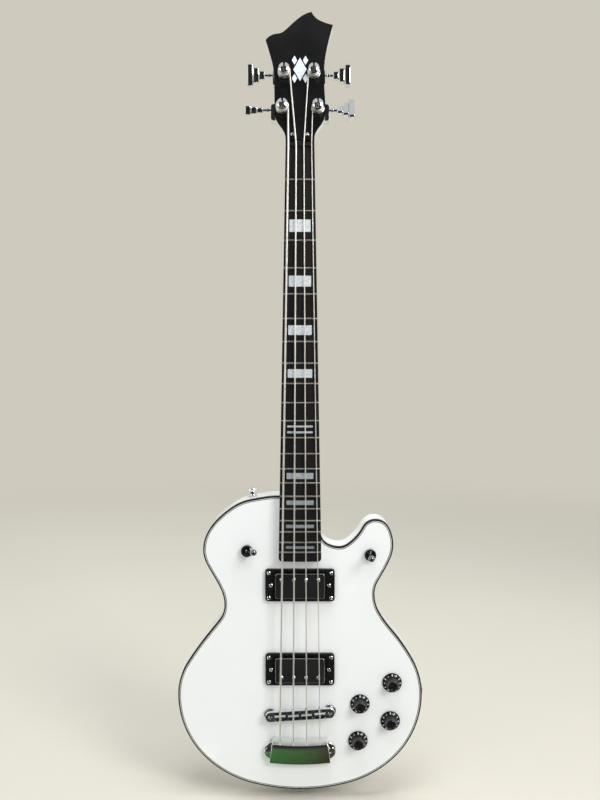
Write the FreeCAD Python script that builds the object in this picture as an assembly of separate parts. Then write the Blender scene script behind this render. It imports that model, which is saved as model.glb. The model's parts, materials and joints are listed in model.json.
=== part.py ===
import FreeCAD, Part
import math
import os

# Electric bass guitar, standing upright as it hangs, in millimetres.
# X runs to the viewer's right, Y to the back and Z up along the neck.
# The origin is the seat at the foot of the headstock where a wall hanger holds the instrument:
# on the centreline, in the plane where the fretboard is glued to the neck.

V = FreeCAD.Vector
SAME_PLACE = 1e-6
ACROSS = V(1, 0, 0)
BACK = V(0, 1, 0)
UP = V(0, 0, 1)

# Scale, frets and strings
SCALE_LENGTH = 781.0
SEAT_ABOVE_NUT = 30.0
FRET_COUNT = 21
FRET_WIDTH = 2.4
FRET_HEIGHT = 1.2
TANG_WIDTH = 0.6
TANG_DEPTH = 1.8
STRING_NAMES = ("e", "a", "d", "g")
STRING_RADII = {"e": 1.3, "a": 1.05, "d": 0.8, "g": 0.6}
NUT_SPACING = 10.3
BRIDGE_SPACING = 18.4
NUT_STRING_LIFT = 0.5
BRIDGE_STRING_LIFT = 15.7
STRING_BEND_RUN = 2.0
GROOVE_CLEARANCE = 0.35

# Fretboard and nut
BOARD_THICK = 6.0
BOARD_RADIUS = 381.0
BOARD_NUT_WIDTH = 38.5
BOARD_END_WIDTH = 59.0
BOARD_CORNER = 5.0
NUT_LENGTH = 5.0
NUT_GROOVE_DEPTH = 1.0
INLAY_DEPTH = 1.5
INLAY_CORNER = 0.8
INLAY_WIDTH_SHARE = 0.67
BLOCK_HEIGHT_SHARE = 0.42
BLOCK_FRETS = (3, 5, 7, 9, 15)
BAR_HEIGHTS = {17: 6.2, 19: 4.5, 21: 3.6}
TWIN_BAR_FRET = 12
TWIN_BAR_HEIGHT = 2.6
TWIN_BAR_PITCH = 8.0

# Neck and truss rod
NECK_SIDE = 1.5
NECK_DEPTH_NUT = 15.5
NECK_DEPTH_BODY = 18.0
HEEL_LENGTH = 50.0
HEEL_KNEE_HEIGHT = 25.0
HEEL_KNEE_SIDE = 6.5
HEEL_KNEE_DEPTH = 25.0
HEEL_LOW_HEIGHT = 10.0
HEEL_LOW_SIDE = 20.0
HEEL_LOW_DEPTH = 38.0
HEEL_SIDE = 25.0
HEEL_DEPTH = 43.0
TONGUE_DEPTH = 22.0
TRUSS_RADIUS = 3.0
TRUSS_CLEARANCE = 0.2
TRUSS_NUT_RADIUS = 3.8
TRUSS_NUT_LENGTH = 12.0
TRUSS_TAIL_ABOVE_JOIN = 20.0

# Headstock: x, height above the nut along the tilted head, and heading of the edge in degrees
HEAD_TILT = 12.0
HEAD_THICK = 13.5
OVERLAY_THICK = 1.5
HEAD_RIGHT_EDGE = ((19.4, 6.0, 90), (26.8, 24.0, 52), (34.2, 44.0, 90), (32.5, 95.0, 90), (45.0, 169.8, 74))
HEAD_CROWN = ((45.0, 169.8, 167), (15.9, 189.1, 110))
HEAD_SHOULDER = ((15.9, 189.1, 193), (-12.0, 170.3, 226), (-31.0, 157.0, 184), (-46.8, 147.6, 238))
HEAD_LEFT_EDGE = ((-46.8, 147.6, 287), (-34.7, 88.0, 270), (-34.2, 44.0, 270), (-26.8, 24.0, 308),
                  (-19.4, 6.0, 270))
VOLUTE_LENGTH = 34.0
VOLUTE_HALF_WIDTH = 12.0
COVER_HALF_WIDTH = 15.0
COVER_TOP_HALF_WIDTH = 7.0
COVER_START = 3.0
COVER_WAIST = 20.0
COVER_LENGTH = 31.0
COVER_THICK = 2.0
COVER_SCREW_X = 10.0
COVER_SCREW_HEIGHT = 10.0
ROD_POCKET_LENGTH = 22.0
LOZENGE_HEIGHT = 105.0
LOZENGE_HALF_WIDTH = 9.0
LOZENGE_HALF_HEIGHT = 17.0
LOZENGE_SIDE_HALF_WIDTH = 3.6
LOZENGE_SIDE_HALF_HEIGHT = 6.8
LOZENGE_GAP = 1.2
LOZENGE_DEPTH = 1.0

# Tuners: x and height of each post on the head, and the side its button stands on
TUNERS = {"e": (-23.7, 49.0, -1), "a": (-21.4, 99.7, -1), "d": (18.6, 99.4, 1), "g": (23.8, 48.6, 1)}
BUTTON_REST_TURN = {"e": 117.0, "a": 18.0, "d": 4.0, "g": -15.0}
WASHER_RADIUS = 8.9
WASHER_THICK = 2.2
SLEEVE_RADIUS = 6.2
SLEEVE_LENGTH = 9.5
POST_SHAFT_RADIUS = 4.5
POST_BARREL_RADIUS = 6.2
POST_BARREL_LENGTH = 11.5
POST_CAP_RADIUS = 7.2
POST_CAP_LENGTH = 3.0
POST_SLOT_WIDTH = 3.0
POST_FOOT_CLEARANCE = 0.3
WINDING_TURNS = 2
WINDING_CLEARANCE = 0.1
WINDING_GAP = 0.6
WINDING_APPROACH = 8.0
WINDING_SAMPLES = 36
WINDING_NEIGHBOURS = 6
WORM_CENTRES = 8.0
WORM_RADIUS = 2.2
MESH_CLEARANCE = 0.35
WHEEL_TEETH = 20
WHEEL_TOOTH_DEPTH = 0.8
TOOTH_ROOT_SHARE = 0.4
TOOTH_TIP_START_SHARE = 0.55
TOOTH_TIP_END_SHARE = 0.85
WHEEL_THICK = 5.0
HOUSING_DEPTH = 13.0
HOUSING_WALL = 1.6
HOUSING_INNER = 12.0
HOUSING_OUTER = 16.0
HOUSING_BELOW = 10.0
HOUSING_ABOVE = 14.0
HOUSING_CORNER = 4.0
LUG_LENGTH = 7.0
LUG_HALF_WIDTH = 4.0
LUG_THICK = 3.0
LUG_SCREW_BITE = 6.5
BUTTON_START = 27.0
BUTTON_TIERS = ((8.0, 12.5, 8.0), (8.0, 21.0, 10.5), (8.0, 30.0, 13.0))
BUTTON_CORNER = 3.0
RUNNING_CLEARANCE = 0.05

# Body outline: x, height above the scale's end, and heading of the edge in degrees
BODY_DROP = 5.0
BODY_THICK = 45.0
JOIN_HEIGHT = 308.5
LOWER_BOUT_HALF_WIDTH = 171.0
LOWER_BOUT_HEIGHT = 27.0
BODY_BOTTOM = -110.0
BODY_OUTLINE = (
    (-30.0, JOIN_HEIGHT, 180),
    (-68.5, JOIN_HEIGHT - 5.0, 191),
    (-113.4, JOIN_HEIGHT - 31.5, 224),
    (-134.4, JOIN_HEIGHT - 75.5, 270),
    (-119.5, JOIN_HEIGHT - 113.5, 301),
    (-105.3, JOIN_HEIGHT - 153.0, 270),
    (-128.5, JOIN_HEIGHT - 194.5, 231),
    (-LOWER_BOUT_HALF_WIDTH, LOWER_BOUT_HEIGHT, 270),
    (-126.5, -70.0, 319.5),
    (0.0, BODY_BOTTOM, 0),
    (126.5, -70.0, 40.5),
    (LOWER_BOUT_HALF_WIDTH, LOWER_BOUT_HEIGHT, 90),
    (127.5, JOIN_HEIGHT - 187.5, 131),
    (103.8, JOIN_HEIGHT - 137.5, 90),
    (117.8, JOIN_HEIGHT - 103.5, 61),
    (129.5, JOIN_HEIGHT - 68.5, 90),
    (104.7, JOIN_HEIGHT - 32.7, 180),
    (72.0, JOIN_HEIGHT - 62.5, 222),
    (54.4, JOIN_HEIGHT - 71.1, 180),
    (29.0, JOIN_HEIGHT - 53.5, 98),
)
POCKET_SIDE_X = 26.5
POCKET_CORNER = 12.0
BACK_EDGE_RADIUS = 6.0
BINDING_EDGE_RADIUS = 1.2
BINDING_DEPTH = 6.0
BINDING_OUTER = 2.2
BINDING_LINE = 0.7
BINDING_INNER = 0.9

# Pickups
RING_WIDTH = 96.4
RING_HEIGHT = 45.4
RING_RISE = 5.3
RING_CORNER = 5.0
RING_SCREW_X = 43.3
RING_SCREW_Z = 17.4
NECK_RING_GAP = 12.0
BRIDGE_PICKUP_HEIGHT = 65.0
PICKUP_WIDTH = 69.2
PICKUP_HEIGHT = 35.4
PICKUP_CORNER = 3.5
PICKUP_SIDE_GAP = 0.6
PICKUP_RISE = 10.7
PICKUP_DEPTH = 16.0
PICKUP_WALL = 0.8
BASE_THICK = 1.6
EAR_REACH = 44.0
EAR_WIDTH = 12.0
BOBBIN_LENGTH = 63.0
BOBBIN_WIDTH = 15.0
BOBBIN_HEIGHT = 11.0
MAGNET_LENGTH = 60.0
MAGNET_WIDTH = 12.7
MAGNET_THICK = 3.0
POLE_OFFSET = 9.2
POLE_SPACING = 17.0
POLE_RADIUS = 2.4
POLE_PROUD = 0.4
POLE_LENGTH = 13.0
HEIGHT_SCREW_X = 40.1
HEIGHT_SCREW_LENGTH = 20.0
ROUT_WIDTH = 73.0
ROUT_HEIGHT = 38.5
ROUT_EAR_WIDTH = 91.0
ROUT_EAR_HEIGHT = 15.0
ROUT_DEPTH = 24.0
ROUT_CORNER = 4.0

# Bridge
BRIDGE_HEIGHT = 2.5
BRIDGE_SLANT = 3.9
BAR_LENGTH = 97.2
BAR_WIDTH = 13.8
BAR_THICK = 9.0
BAR_LIFT = 3.5
BAR_SLOT_END_GAP = 0.8
BAR_SLOT_WIDTH = 10.4
BAR_SLOT_DEPTH = 7.0
SADDLE_WIDTH = 13.0
SADDLE_LENGTH = 4.0
SADDLE_CREST_LENGTH = 1.6
SADDLE_SEAT_GAP = 0.3
SADDLE_SCREW_RADIUS = 1.2
SADDLE_SCREW_HEAD_RADIUS = 2.4
SADDLE_SCREW_HEAD = 1.5
SADDLE_SCREW_DEPTH = 4.0
BRIDGE_POST_X = 41.5
BRIDGE_POST_RADIUS = 2.5
BRIDGE_POST_DEPTH = 17.0
THUMBWHEEL_RADIUS = 9.0
THUMBWHEEL_THICK = 3.0
STUD_BUSHING_RADIUS = 5.5
STUD_BUSHING_LENGTH = 18.0

# Tailpiece: the drop from its front edge and the height above the body of each corner
TAIL_HEIGHT = -35.0
TAIL_BOW_RADIUS = 321.0
TAIL_HALF_WIDTH = 38.6
TAIL_LENGTH = 37.0
TAIL_LIFT = 0.7
TAIL_FRONT_SLOPE = 5.0
TAIL_FRONT_RISE = 14.5
TAIL_CREST = 7.5
TAIL_CREST_RISE = 16.0
TAIL_BACK_MIDDLE = 24.0
TAIL_BACK_MIDDLE_RISE = 13.5
TAIL_BACK_RISE = 6.0
TAIL_CAVITY_START = 11.0
TAIL_CAVITY_LENGTH = 9.0
TAIL_CAVITY_HALF_WIDTH = 33.0
TAIL_HOLE_RADIUS = 1.9
EAR_X = 38.3
EAR_DROP = 16.5
EAR_RADIUS = 12.3
EAR_THICK = 4.3
STUD_X = 44.2
STUD_RADIUS = 4.0
STUD_HEAD_RADIUS = 5.2
STUD_HEAD = 3.0
STUD_DEPTH = 17.0
BALL_RADIUS = 2.8
BALL_LENGTH = 5.5
BALL_RISE = 10.4
BALL_WALL_GAP = 0.2

# Controls: distance in from the right of the lower bout, and height above the scale's end
KNOBS = {"neck_volume": (LOWER_BOUT_HALF_WIDTH - 42.2, 45.1), "neck_tone": (84.0, 14.6),
         "bridge_volume": (LOWER_BOUT_HALF_WIDTH - 44.4, -9.6), "bridge_tone": (81.5, -38.3)}
KNOB_SKIRT_RADIUS = 13.6
KNOB_SKIRT_RIM = 1.3
KNOB_GAP = 1.0
KNOB_NECK_RADIUS = 7.5
KNOB_NECK_RISE = 8.8
KNOB_FLANK_RADIUS = 9.3
KNOB_FLANK_RISE = 5.2
KNOB_HAT_RADIUS = 6.9
KNOB_HAT_RISE = 15.6
KNOB_CROWN = 1.2
KNOB_HOLLOW_RADIUS = 7.0
KNOB_HOLLOW_RISE = 5.6
SHAFT_RADIUS = 3.0
SHAFT_RISE = 13.5
POT_RADIUS = 12.0
POT_DEPTH = 10.0
POT_BUSHING_RADIUS = 4.5
POT_BUSHING_RISE = 3.0
POT_NUT_RADIUS = 6.2
POT_NUT_RISE = 2.4
SOUNDBOARD_THICK = 6.0
CAVITY_MARGIN = 20.0
COVER_LEDGE = 5.0
BACK_COVER_THICK = 2.0
COVER_SCREW_INSET = 2.6

# Toggle switches: x, height above the scale's end, rest lean in degrees and direction of the throw
SWITCHES = {"rhythm": (-73.4, JOIN_HEIGHT - 75.8, 25.0, -14.0),
            "tone": (97.2, JOIN_HEIGHT - 81.5, 0.0, 90.0)}
SWITCH_CAVITY_RADIUS = 16.0
PIVOT_RISE = 1.5
COLLAR_RADIUS = 8.0
COLLAR_RISE = 7.0
SWITCH_BUSHING_RADIUS = 6.5
SWITCH_SEAT_RADIUS = 3.6
SWITCH_MOUTH_RADIUS = 5.2
SWITCH_FLARE_RADIUS = 6.8
SWITCH_PLATE_RADIUS = 10.5
SWITCH_PLATE_THICK = 2.0
SWITCH_LEAF_OFFSET = 8.6
SWITCH_LEAF_THICK = 1.0
SWITCH_LEAF_WIDTH = 9.0
SWITCH_LEAF_LENGTH = 16.0
LEVER_BALL_RADIUS = 3.5
LEVER_RADIUS = 1.9
LEVER_TAIL_RADIUS = 1.5
LEVER_TAIL = 11.0
TIP_START = 14.0
TIP_END = 29.5
TIP_NECK_RADIUS = 3.0
TIP_RADIUS = 4.6

# Output jack on the right rim, and strap buttons
JACK_BORE_RADIUS = 3.25
JACK_BARREL_RADIUS = 4.75
JACK_HOUSING_RADIUS = 8.4
JACK_HOUSING_LENGTH = 14.0
JACK_TAIL = 4.0
JACK_HOLE_RADIUS = 9.0
JACK_PLATE_WIDTH = 25.0
JACK_PLATE_HEIGHT = 33.0
JACK_PLATE_THICK = 1.6
JACK_PLATE_SINK = 1.3
JACK_NUT_RADIUS = 7.0
JACK_NUT_THICK = 2.2
JACK_SCREW_Z = 13.0
STRAP_X = -64.3
STRAP_FLANGE_RADIUS = 6.8
STRAP_NECK_RADIUS = 4.2
STRAP_HEAD_RADIUS = 7.0
STRAP_HEAD_TOP_RADIUS = 6.0
STRAP_FLANGE = 2.0
STRAP_NECK = 8.0
STRAP_HEAD = 3.0
STRAP_HEAD_CONE = 1.5
STRAP_SCREW_RADIUS = 2.2
STRAP_SCREW_LENGTH = 22.0

# Small screws and round corners
LARGEST_CORNER_SHARE = 0.4
SCREW_RADIUS = 1.4
SCREW_HEAD_RADIUS = 2.6
SCREW_HEAD = 1.2
SCREW_LENGTH = 12.0


def fret_distance(number):
    """Distance of a fret below the nut."""
    return SCALE_LENGTH * (1 - 2 ** (-number / 12))


BOARD_LENGTH = fret_distance(FRET_COUNT + 1)
NUT_Z = -SEAT_ABOVE_NUT
SCALE_END_Z = NUT_Z - SCALE_LENGTH
JOIN_Z = SCALE_END_Z + JOIN_HEIGHT
TOP_Y = BODY_DROP
BACK_Y = TOP_Y + BODY_THICK
CAVITY_TOP_Y = TOP_Y + SOUNDBOARD_THICK
RIM_Y = TOP_Y + BODY_THICK / 2
HEAD_Z = NUT_Z + NUT_LENGTH
HEAD = FreeCAD.Placement(V(0, 0, HEAD_Z), FreeCAD.Rotation(ACROSS, -HEAD_TILT))
BRIDGE_Z = SCALE_END_Z + BRIDGE_HEIGHT
BRIDGE = FreeCAD.Placement(V(0, 0, BRIDGE_Z), FreeCAD.Rotation(BACK, -BRIDGE_SLANT))
TAIL_Z = SCALE_END_Z + TAIL_HEIGHT
NECK_PICKUP_Z = NUT_Z - BOARD_LENGTH - NECK_RING_GAP - RING_HEIGHT / 2
BRIDGE_PICKUP_Z = SCALE_END_Z + BRIDGE_PICKUP_HEIGHT
HOUSING_Y = HEAD_THICK
WORM_Y = HEAD_THICK + HOUSING_DEPTH / 2
WHEEL_RADIUS = WORM_CENTRES - WORM_RADIUS - MESH_CLEARANCE


# Geometry helpers

def board_half_width(z):
    """Half the fretboard's width at a height."""
    taper = (BOARD_END_WIDTH - BOARD_NUT_WIDTH) / 2 / BOARD_LENGTH
    return BOARD_NUT_WIDTH / 2 + taper * (NUT_Z - z)


def heading(degrees):
    """Unit vector in the front plane."""
    angle = math.radians(degrees)
    return V(math.cos(angle), 0, math.sin(angle))


def tangent_arc(start, direction, end):
    """Arc that leaves start along direction and reaches end."""
    chord = end - start
    along = V(chord).normalize()
    bulge = direction - along * direction.dot(along)
    if bulge.Length < SAME_PLACE:
        return Part.LineSegment(start, end).toShape()
    turn = math.acos(max(-1.0, min(1.0, direction.dot(along))))
    middle = start + chord * 0.5 + bulge.normalize() * (chord.Length / 2 * math.tan(turn / 2))
    return Part.Arc(start, middle, end).toShape()


def biarc(start, start_way, end, end_way):
    """Two tangent arcs from one point and direction to another."""
    span = end - start
    both = span.dot(start_way + end_way)
    spread = 2 * (1 - start_way.dot(end_way))
    if spread < 1e-9:
        reach = span.dot(span) / (4 * span.dot(end_way))
    else:
        reach = (math.sqrt(both * both + spread * span.dot(span)) - both) / spread
    first_knee = start + start_way * reach
    last_knee = end - end_way * reach
    middle = (first_knee + last_knee) * 0.5
    through = (last_knee - first_knee).normalize()
    return [tangent_arc(start, start_way, middle), tangent_arc(middle, through, end)]


def chain(points, base_z=0.0):
    """Edges of tangent arcs through points of x, z and heading."""
    edges = []
    for here, there in zip(points, points[1:]):
        start = V(here[0], 0, base_z + here[1])
        end = V(there[0], 0, base_z + there[1])
        edges += biarc(start, heading(here[2]), end, heading(there[2]))
    return edges


def line(start, end):
    return Part.LineSegment(start, end).toShape()


def polygon(points):
    """Closed wire in the front plane through points of x and z."""
    corners = [V(x, 0, z) for x, z in points]
    return Part.makePolygon(corners + corners[:1])


def rounded_rect(x, z, width, height, corner):
    """Closed wire of a rectangle with round corners, which the narrower side limits."""
    round_off = min(corner, LARGEST_CORNER_SHARE * min(width, height))
    half_width = width / 2 - round_off
    half_height = height / 2 - round_off
    core = polygon([(x - half_width, z - half_height), (x + half_width, z - half_height),
                    (x + half_width, z + half_height), (x - half_width, z + half_height)])
    return core.makeOffset2D(round_off)


def stadium(z, length, width):
    """Closed wire of a bar with fully round ends, across the middle."""
    radius = width / 2
    end = length / 2 - radius
    right = Part.Arc(V(end, 0, z - radius), V(end + radius, 0, z), V(end, 0, z + radius)).toShape()
    left = Part.Arc(V(-end, 0, z + radius), V(-end - radius, 0, z), V(-end, 0, z - radius)).toShape()
    top = line(V(end, 0, z + radius), V(-end, 0, z + radius))
    bottom = line(V(-end, 0, z - radius), V(end, 0, z - radius))
    return Part.Wire([right, top, left, bottom])


def prism(wire, front, back):
    """Solid between two depths over a closed wire in the front plane."""
    face = Part.Face(wire)
    face.translate(V(0, front, 0))
    return face.extrude(V(0, back - front, 0))


def box(x_range, y_range, z_range):
    corner = V(x_range[0], y_range[0], z_range[0])
    return Part.makeBox(x_range[1] - x_range[0], y_range[1] - y_range[0], z_range[1] - z_range[0], corner)


def rod(x, z, radius, front, back):
    """Cylinder along Y."""
    return Part.makeCylinder(radius, back - front, V(x, front, z), BACK)


def tube(x, z, radius, bore, front, back):
    return rod(x, z, radius, front, back).cut(rod(x, z, bore, front, back))


def stem(start, direction, radius, length):
    """Cylinder from a point along a direction."""
    return Part.makeCylinder(radius, length, start, direction)


def spun(edges, start, direction):
    """Solid of revolution of closed edges about an axis."""
    face = Part.Face(Part.Wire(edges))
    return face.revolve(start, direction, 360)


def closed_edges(points):
    return [line(a, b) for a, b in zip(points, points[1:] + points[:1])]


def on_head(shape):
    """Moves a shape from the head's own plane to its tilted place."""
    moved = shape.copy()
    moved.Placement = HEAD.multiply(moved.Placement)
    return moved


def on_bridge(shape):
    """Moves a shape from the bridge's own frame to its slanted place."""
    moved = shape.copy()
    moved.Placement = BRIDGE.multiply(moved.Placement)
    return moved


def screw(point, direction, length=SCREW_LENGTH, head=SCREW_HEAD):
    """Small screw with the top of its head at a point, driven along a direction."""
    cap = stem(point, direction, SCREW_HEAD_RADIUS, head)
    return cap.fuse(stem(point, direction, SCREW_RADIUS, length))


def mirrored_x(value):
    return (-value, value)


# Neck, headstock and fretboard

def neck_section(z, side, depth):
    """Flat front, short straight sides and a round back."""
    half = board_half_width(z)
    left = V(-half, side, z)
    right = V(half, side, z)
    front_left = V(-half, 0, z)
    front_right = V(half, 0, z)
    back = Part.Arc(right, V(0, depth, z), left).toShape()
    return Part.Wire([line(front_left, front_right), line(front_right, right), back, line(left, front_left)])


def head_outline():
    edges = chain(HEAD_RIGHT_EDGE) + chain(HEAD_CROWN) + chain(HEAD_SHOULDER) + chain(HEAD_LEFT_EDGE)
    foot_right = V(BOARD_NUT_WIDTH / 2, 0, 0)
    foot_left = V(-BOARD_NUT_WIDTH / 2, 0, 0)
    first = V(HEAD_RIGHT_EDGE[0][0], 0, HEAD_RIGHT_EDGE[0][1])
    last = V(HEAD_LEFT_EDGE[-1][0], 0, HEAD_LEFT_EDGE[-1][1])
    edges += [line(last, foot_left), line(foot_left, foot_right), line(foot_right, first)]
    return Part.Wire(Part.__sortEdges__(edges))


def volute():
    """Thickening at the back of the neck that runs out under the head."""
    foot = neck_section(HEAD_Z, NECK_SIDE, NECK_DEPTH_NUT)
    z = HEAD_Z + VOLUTE_LENGTH
    front = math.tan(math.radians(HEAD_TILT)) * VOLUTE_LENGTH
    left = V(-VOLUTE_HALF_WIDTH, front + NECK_SIDE, z)
    right = V(VOLUTE_HALF_WIDTH, front + NECK_SIDE, z)
    front_left = V(-VOLUTE_HALF_WIDTH, front, z)
    front_right = V(VOLUTE_HALF_WIDTH, front, z)
    back = Part.Arc(right, V(0, front + HEAD_THICK - NECK_SIDE, z), left).toShape()
    tip = Part.Wire([line(front_left, front_right), line(front_right, right), back, line(left, front_left)])
    return Part.makeLoft([foot, tip], True, True)


def heel():
    """Neck's foot, deepening to the body's side."""
    sections = [neck_section(JOIN_Z + HEEL_LENGTH, NECK_SIDE, NECK_DEPTH_BODY),
                neck_section(JOIN_Z + HEEL_KNEE_HEIGHT, HEEL_KNEE_SIDE, HEEL_KNEE_DEPTH),
                neck_section(JOIN_Z + HEEL_LOW_HEIGHT, HEEL_LOW_SIDE, HEEL_LOW_DEPTH),
                neck_section(JOIN_Z, HEEL_SIDE, HEEL_DEPTH)]
    return Part.makeLoft(sections, True, False)


def tongue():
    """Part of the neck that is glued into the body under the end of the fretboard."""
    end_z = NUT_Z - BOARD_LENGTH
    top = board_half_width(JOIN_Z)
    end = board_half_width(end_z)
    return prism(polygon([(-top, JOIN_Z), (top, JOIN_Z), (end, end_z), (-end, end_z)]), 0, TONGUE_DEPTH)


def truss_axis_y():
    """Depth that keeps the rod's nut under the tilted face of the head."""
    recede = TRUSS_NUT_LENGTH * math.tan(math.radians(HEAD_TILT))
    return TRUSS_NUT_RADIUS + TRUSS_CLEARANCE + recede - OVERLAY_THICK


def truss_rod():
    start = V(0, truss_axis_y(), JOIN_Z + TRUSS_TAIL_ABOVE_JOIN)
    shank = stem(start, UP, TRUSS_RADIUS, HEAD_Z - start.z)
    nut_start = V(0, truss_axis_y(), HEAD_Z)
    return [shank.fuse(stem(nut_start, UP, TRUSS_NUT_RADIUS, TRUSS_NUT_LENGTH))]


def truss_room():
    """Channel under the fretboard and pocket at the foot of the head."""
    half = TRUSS_RADIUS + TRUSS_CLEARANCE
    channel = box(mirrored_x(half), (0, truss_axis_y() + half), (JOIN_Z + TRUSS_TAIL_ABOVE_JOIN, HEAD_Z))
    pocket_half = TRUSS_NUT_RADIUS + TRUSS_CLEARANCE
    pocket_depth = truss_axis_y() + pocket_half
    pocket = box(mirrored_x(pocket_half), (-HEAD_THICK, pocket_depth), (HEAD_Z, HEAD_Z + ROD_POCKET_LENGTH))
    return [channel, pocket]


def neck():
    shaft = Part.makeLoft([neck_section(HEAD_Z, NECK_SIDE, NECK_DEPTH_NUT),
                           neck_section(JOIN_Z + HEEL_LENGTH, NECK_SIDE, NECK_DEPTH_BODY)], True, True)
    slab = on_head(prism(head_outline(), 0, HEAD_THICK))
    wood = shaft.fuse([heel(), tongue(), slab, volute()])
    holes = [on_head(rod(x, z, SLEEVE_RADIUS, 0, HEAD_THICK)) for x, z, side in TUNERS.values()]
    return wood.cut(truss_room() + holes).removeSplitter()


def lozenge(x, z, half_width, half_height):
    wire = polygon([(x - half_width, z), (x, z - half_height), (x + half_width, z), (x, z + half_height)])
    return on_head(prism(wire, -OVERLAY_THICK, -OVERLAY_THICK + LOZENGE_DEPTH))


def headstock_inlays():
    """One tall lozenge with four small ones about its points."""
    reach_x = (LOZENGE_HALF_WIDTH + LOZENGE_SIDE_HALF_WIDTH) / 2 + LOZENGE_GAP
    reach_z = (LOZENGE_HALF_HEIGHT + LOZENGE_SIDE_HALF_HEIGHT) / 2 + LOZENGE_GAP
    shapes = [lozenge(0, LOZENGE_HEIGHT, LOZENGE_HALF_WIDTH, LOZENGE_HALF_HEIGHT)]
    for side in (-1, 1):
        for end in (-1, 1):
            shapes.append(lozenge(side * reach_x, LOZENGE_HEIGHT + end * reach_z,
                                  LOZENGE_SIDE_HALF_WIDTH, LOZENGE_SIDE_HALF_HEIGHT))
    return shapes


def headstock_overlay(inlays, screws):
    sheet = on_head(prism(head_outline(), -OVERLAY_THICK, 0))
    holes = [on_head(rod(x, z, SLEEVE_RADIUS, -OVERLAY_THICK, 0)) for x, z, side in TUNERS.values()]
    return sheet.cut(truss_room() + holes + inlays + screws)


def truss_rod_cover(screws):
    """Bell-shaped plate over the rod's pocket."""
    top = COVER_START + COVER_LENGTH
    waist = COVER_START + COVER_WAIST
    edge = chain(((COVER_HALF_WIDTH, COVER_START, 90), (COVER_TOP_HALF_WIDTH, waist, 90), (0, top, 180),
                  (-COVER_TOP_HALF_WIDTH, waist, 270), (-COVER_HALF_WIDTH, COVER_START, 270)))
    foot = line(V(-COVER_HALF_WIDTH, 0, COVER_START), V(COVER_HALF_WIDTH, 0, COVER_START))
    outline = Part.Wire(Part.__sortEdges__(edge + [foot]))
    plate = on_head(prism(outline, -OVERLAY_THICK - COVER_THICK, -OVERLAY_THICK))
    return plate.cut(screws)


def board_cylinder(extra):
    """Long cylinder whose front is the fretboard's surface, raised by an extra height."""
    start = V(0, BOARD_RADIUS - BOARD_THICK, NUT_Z - BOARD_LENGTH - BOARD_CORNER)
    return stem(start, UP, BOARD_RADIUS + extra, BOARD_LENGTH + NUT_LENGTH + 2 * BOARD_CORNER)


def board_outline():
    """Tapered outline with round corners at the body end."""
    end_z = NUT_Z - BOARD_LENGTH
    corner_z = end_z + BOARD_CORNER
    top = board_half_width(NUT_Z)
    low = board_half_width(corner_z)
    inner = low - BOARD_CORNER
    right = biarc(V(low, 0, corner_z), heading(270), V(inner, 0, end_z), heading(180))
    left = biarc(V(-inner, 0, end_z), heading(180), V(-low, 0, corner_z), heading(90))
    straight = [line(V(top, 0, NUT_Z), V(low, 0, corner_z)), line(V(inner, 0, end_z), V(-inner, 0, end_z)),
                line(V(-low, 0, corner_z), V(-top, 0, NUT_Z)), line(V(-top, 0, NUT_Z), V(top, 0, NUT_Z))]
    return Part.Wire(Part.__sortEdges__(straight + right + left))


def inlay(z, height):
    width = 2 * board_half_width(z) * INLAY_WIDTH_SHARE
    block = prism(rounded_rect(0, z, width, height, INLAY_CORNER), -BOARD_THICK, 0)
    return block.common(board_cylinder(0)).cut(board_cylinder(-INLAY_DEPTH))


def fret_inlays():
    shapes = []
    for number in range(1, FRET_COUNT + 1):
        above = fret_distance(number - 1)
        below = fret_distance(number)
        z = NUT_Z - (above + below) / 2
        if number in BLOCK_FRETS:
            shapes.append(inlay(z, (below - above) * BLOCK_HEIGHT_SHARE))
        elif number in BAR_HEIGHTS:
            shapes.append(inlay(z, BAR_HEIGHTS[number]))
        elif number == TWIN_BAR_FRET:
            shapes += [inlay(z + side * TWIN_BAR_PITCH / 2, TWIN_BAR_HEIGHT) for side in (-1, 1)]
    return shapes


def fret(number):
    """Crowned wire with its tang, bent to the fretboard's radius."""
    z = NUT_Z - fret_distance(number)
    spread = math.degrees(math.asin(board_half_width(z) / BOARD_RADIUS))
    front = -BOARD_THICK
    half = FRET_WIDTH / 2
    tang = TANG_WIDTH / 2
    crown = Part.Arc(V(0, front, z + half), V(0, front - FRET_HEIGHT, z), V(0, front, z - half)).toShape()
    corners = [V(0, front, z - half), V(0, front, z - tang), V(0, front + TANG_DEPTH, z - tang),
               V(0, front + TANG_DEPTH, z + tang), V(0, front, z + tang), V(0, front, z + half)]
    foot = [line(a, b) for a, b in zip(corners, corners[1:])]
    profile = Part.Face(Part.Wire([crown] + foot))
    centre = V(0, BOARD_RADIUS - BOARD_THICK, z)
    profile.rotate(centre, UP, -spread)
    return profile.revolve(centre, UP, 2 * spread)


def fretboard(inlays, frets):
    blank = prism(board_outline(), -BOARD_THICK, 0)
    return blank.common(board_cylinder(0)).cut(inlays + frets)


# Strings

def string_place(index):
    return index - (len(STRING_NAMES) - 1) / 2


def nut_point(index):
    """String's centre over the middle of the nut."""
    x = string_place(index) * NUT_SPACING
    radius = STRING_RADII[STRING_NAMES[index]]
    low = -BOARD_THICK - FRET_HEIGHT - NUT_STRING_LIFT + x * x / (2 * BOARD_RADIUS)
    return V(x, low - radius, NUT_Z + NUT_LENGTH / 2)


def saddle_point(index):
    """String's centre over the crest of its saddle."""
    x = string_place(index) * BRIDGE_SPACING
    radius = STRING_RADII[STRING_NAMES[index]]
    low = TOP_Y - BRIDGE_STRING_LIFT + x * x / (2 * BOARD_RADIUS)
    return V(x, low - radius, BRIDGE_Z + x * math.tan(math.radians(BRIDGE_SLANT)))


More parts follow.
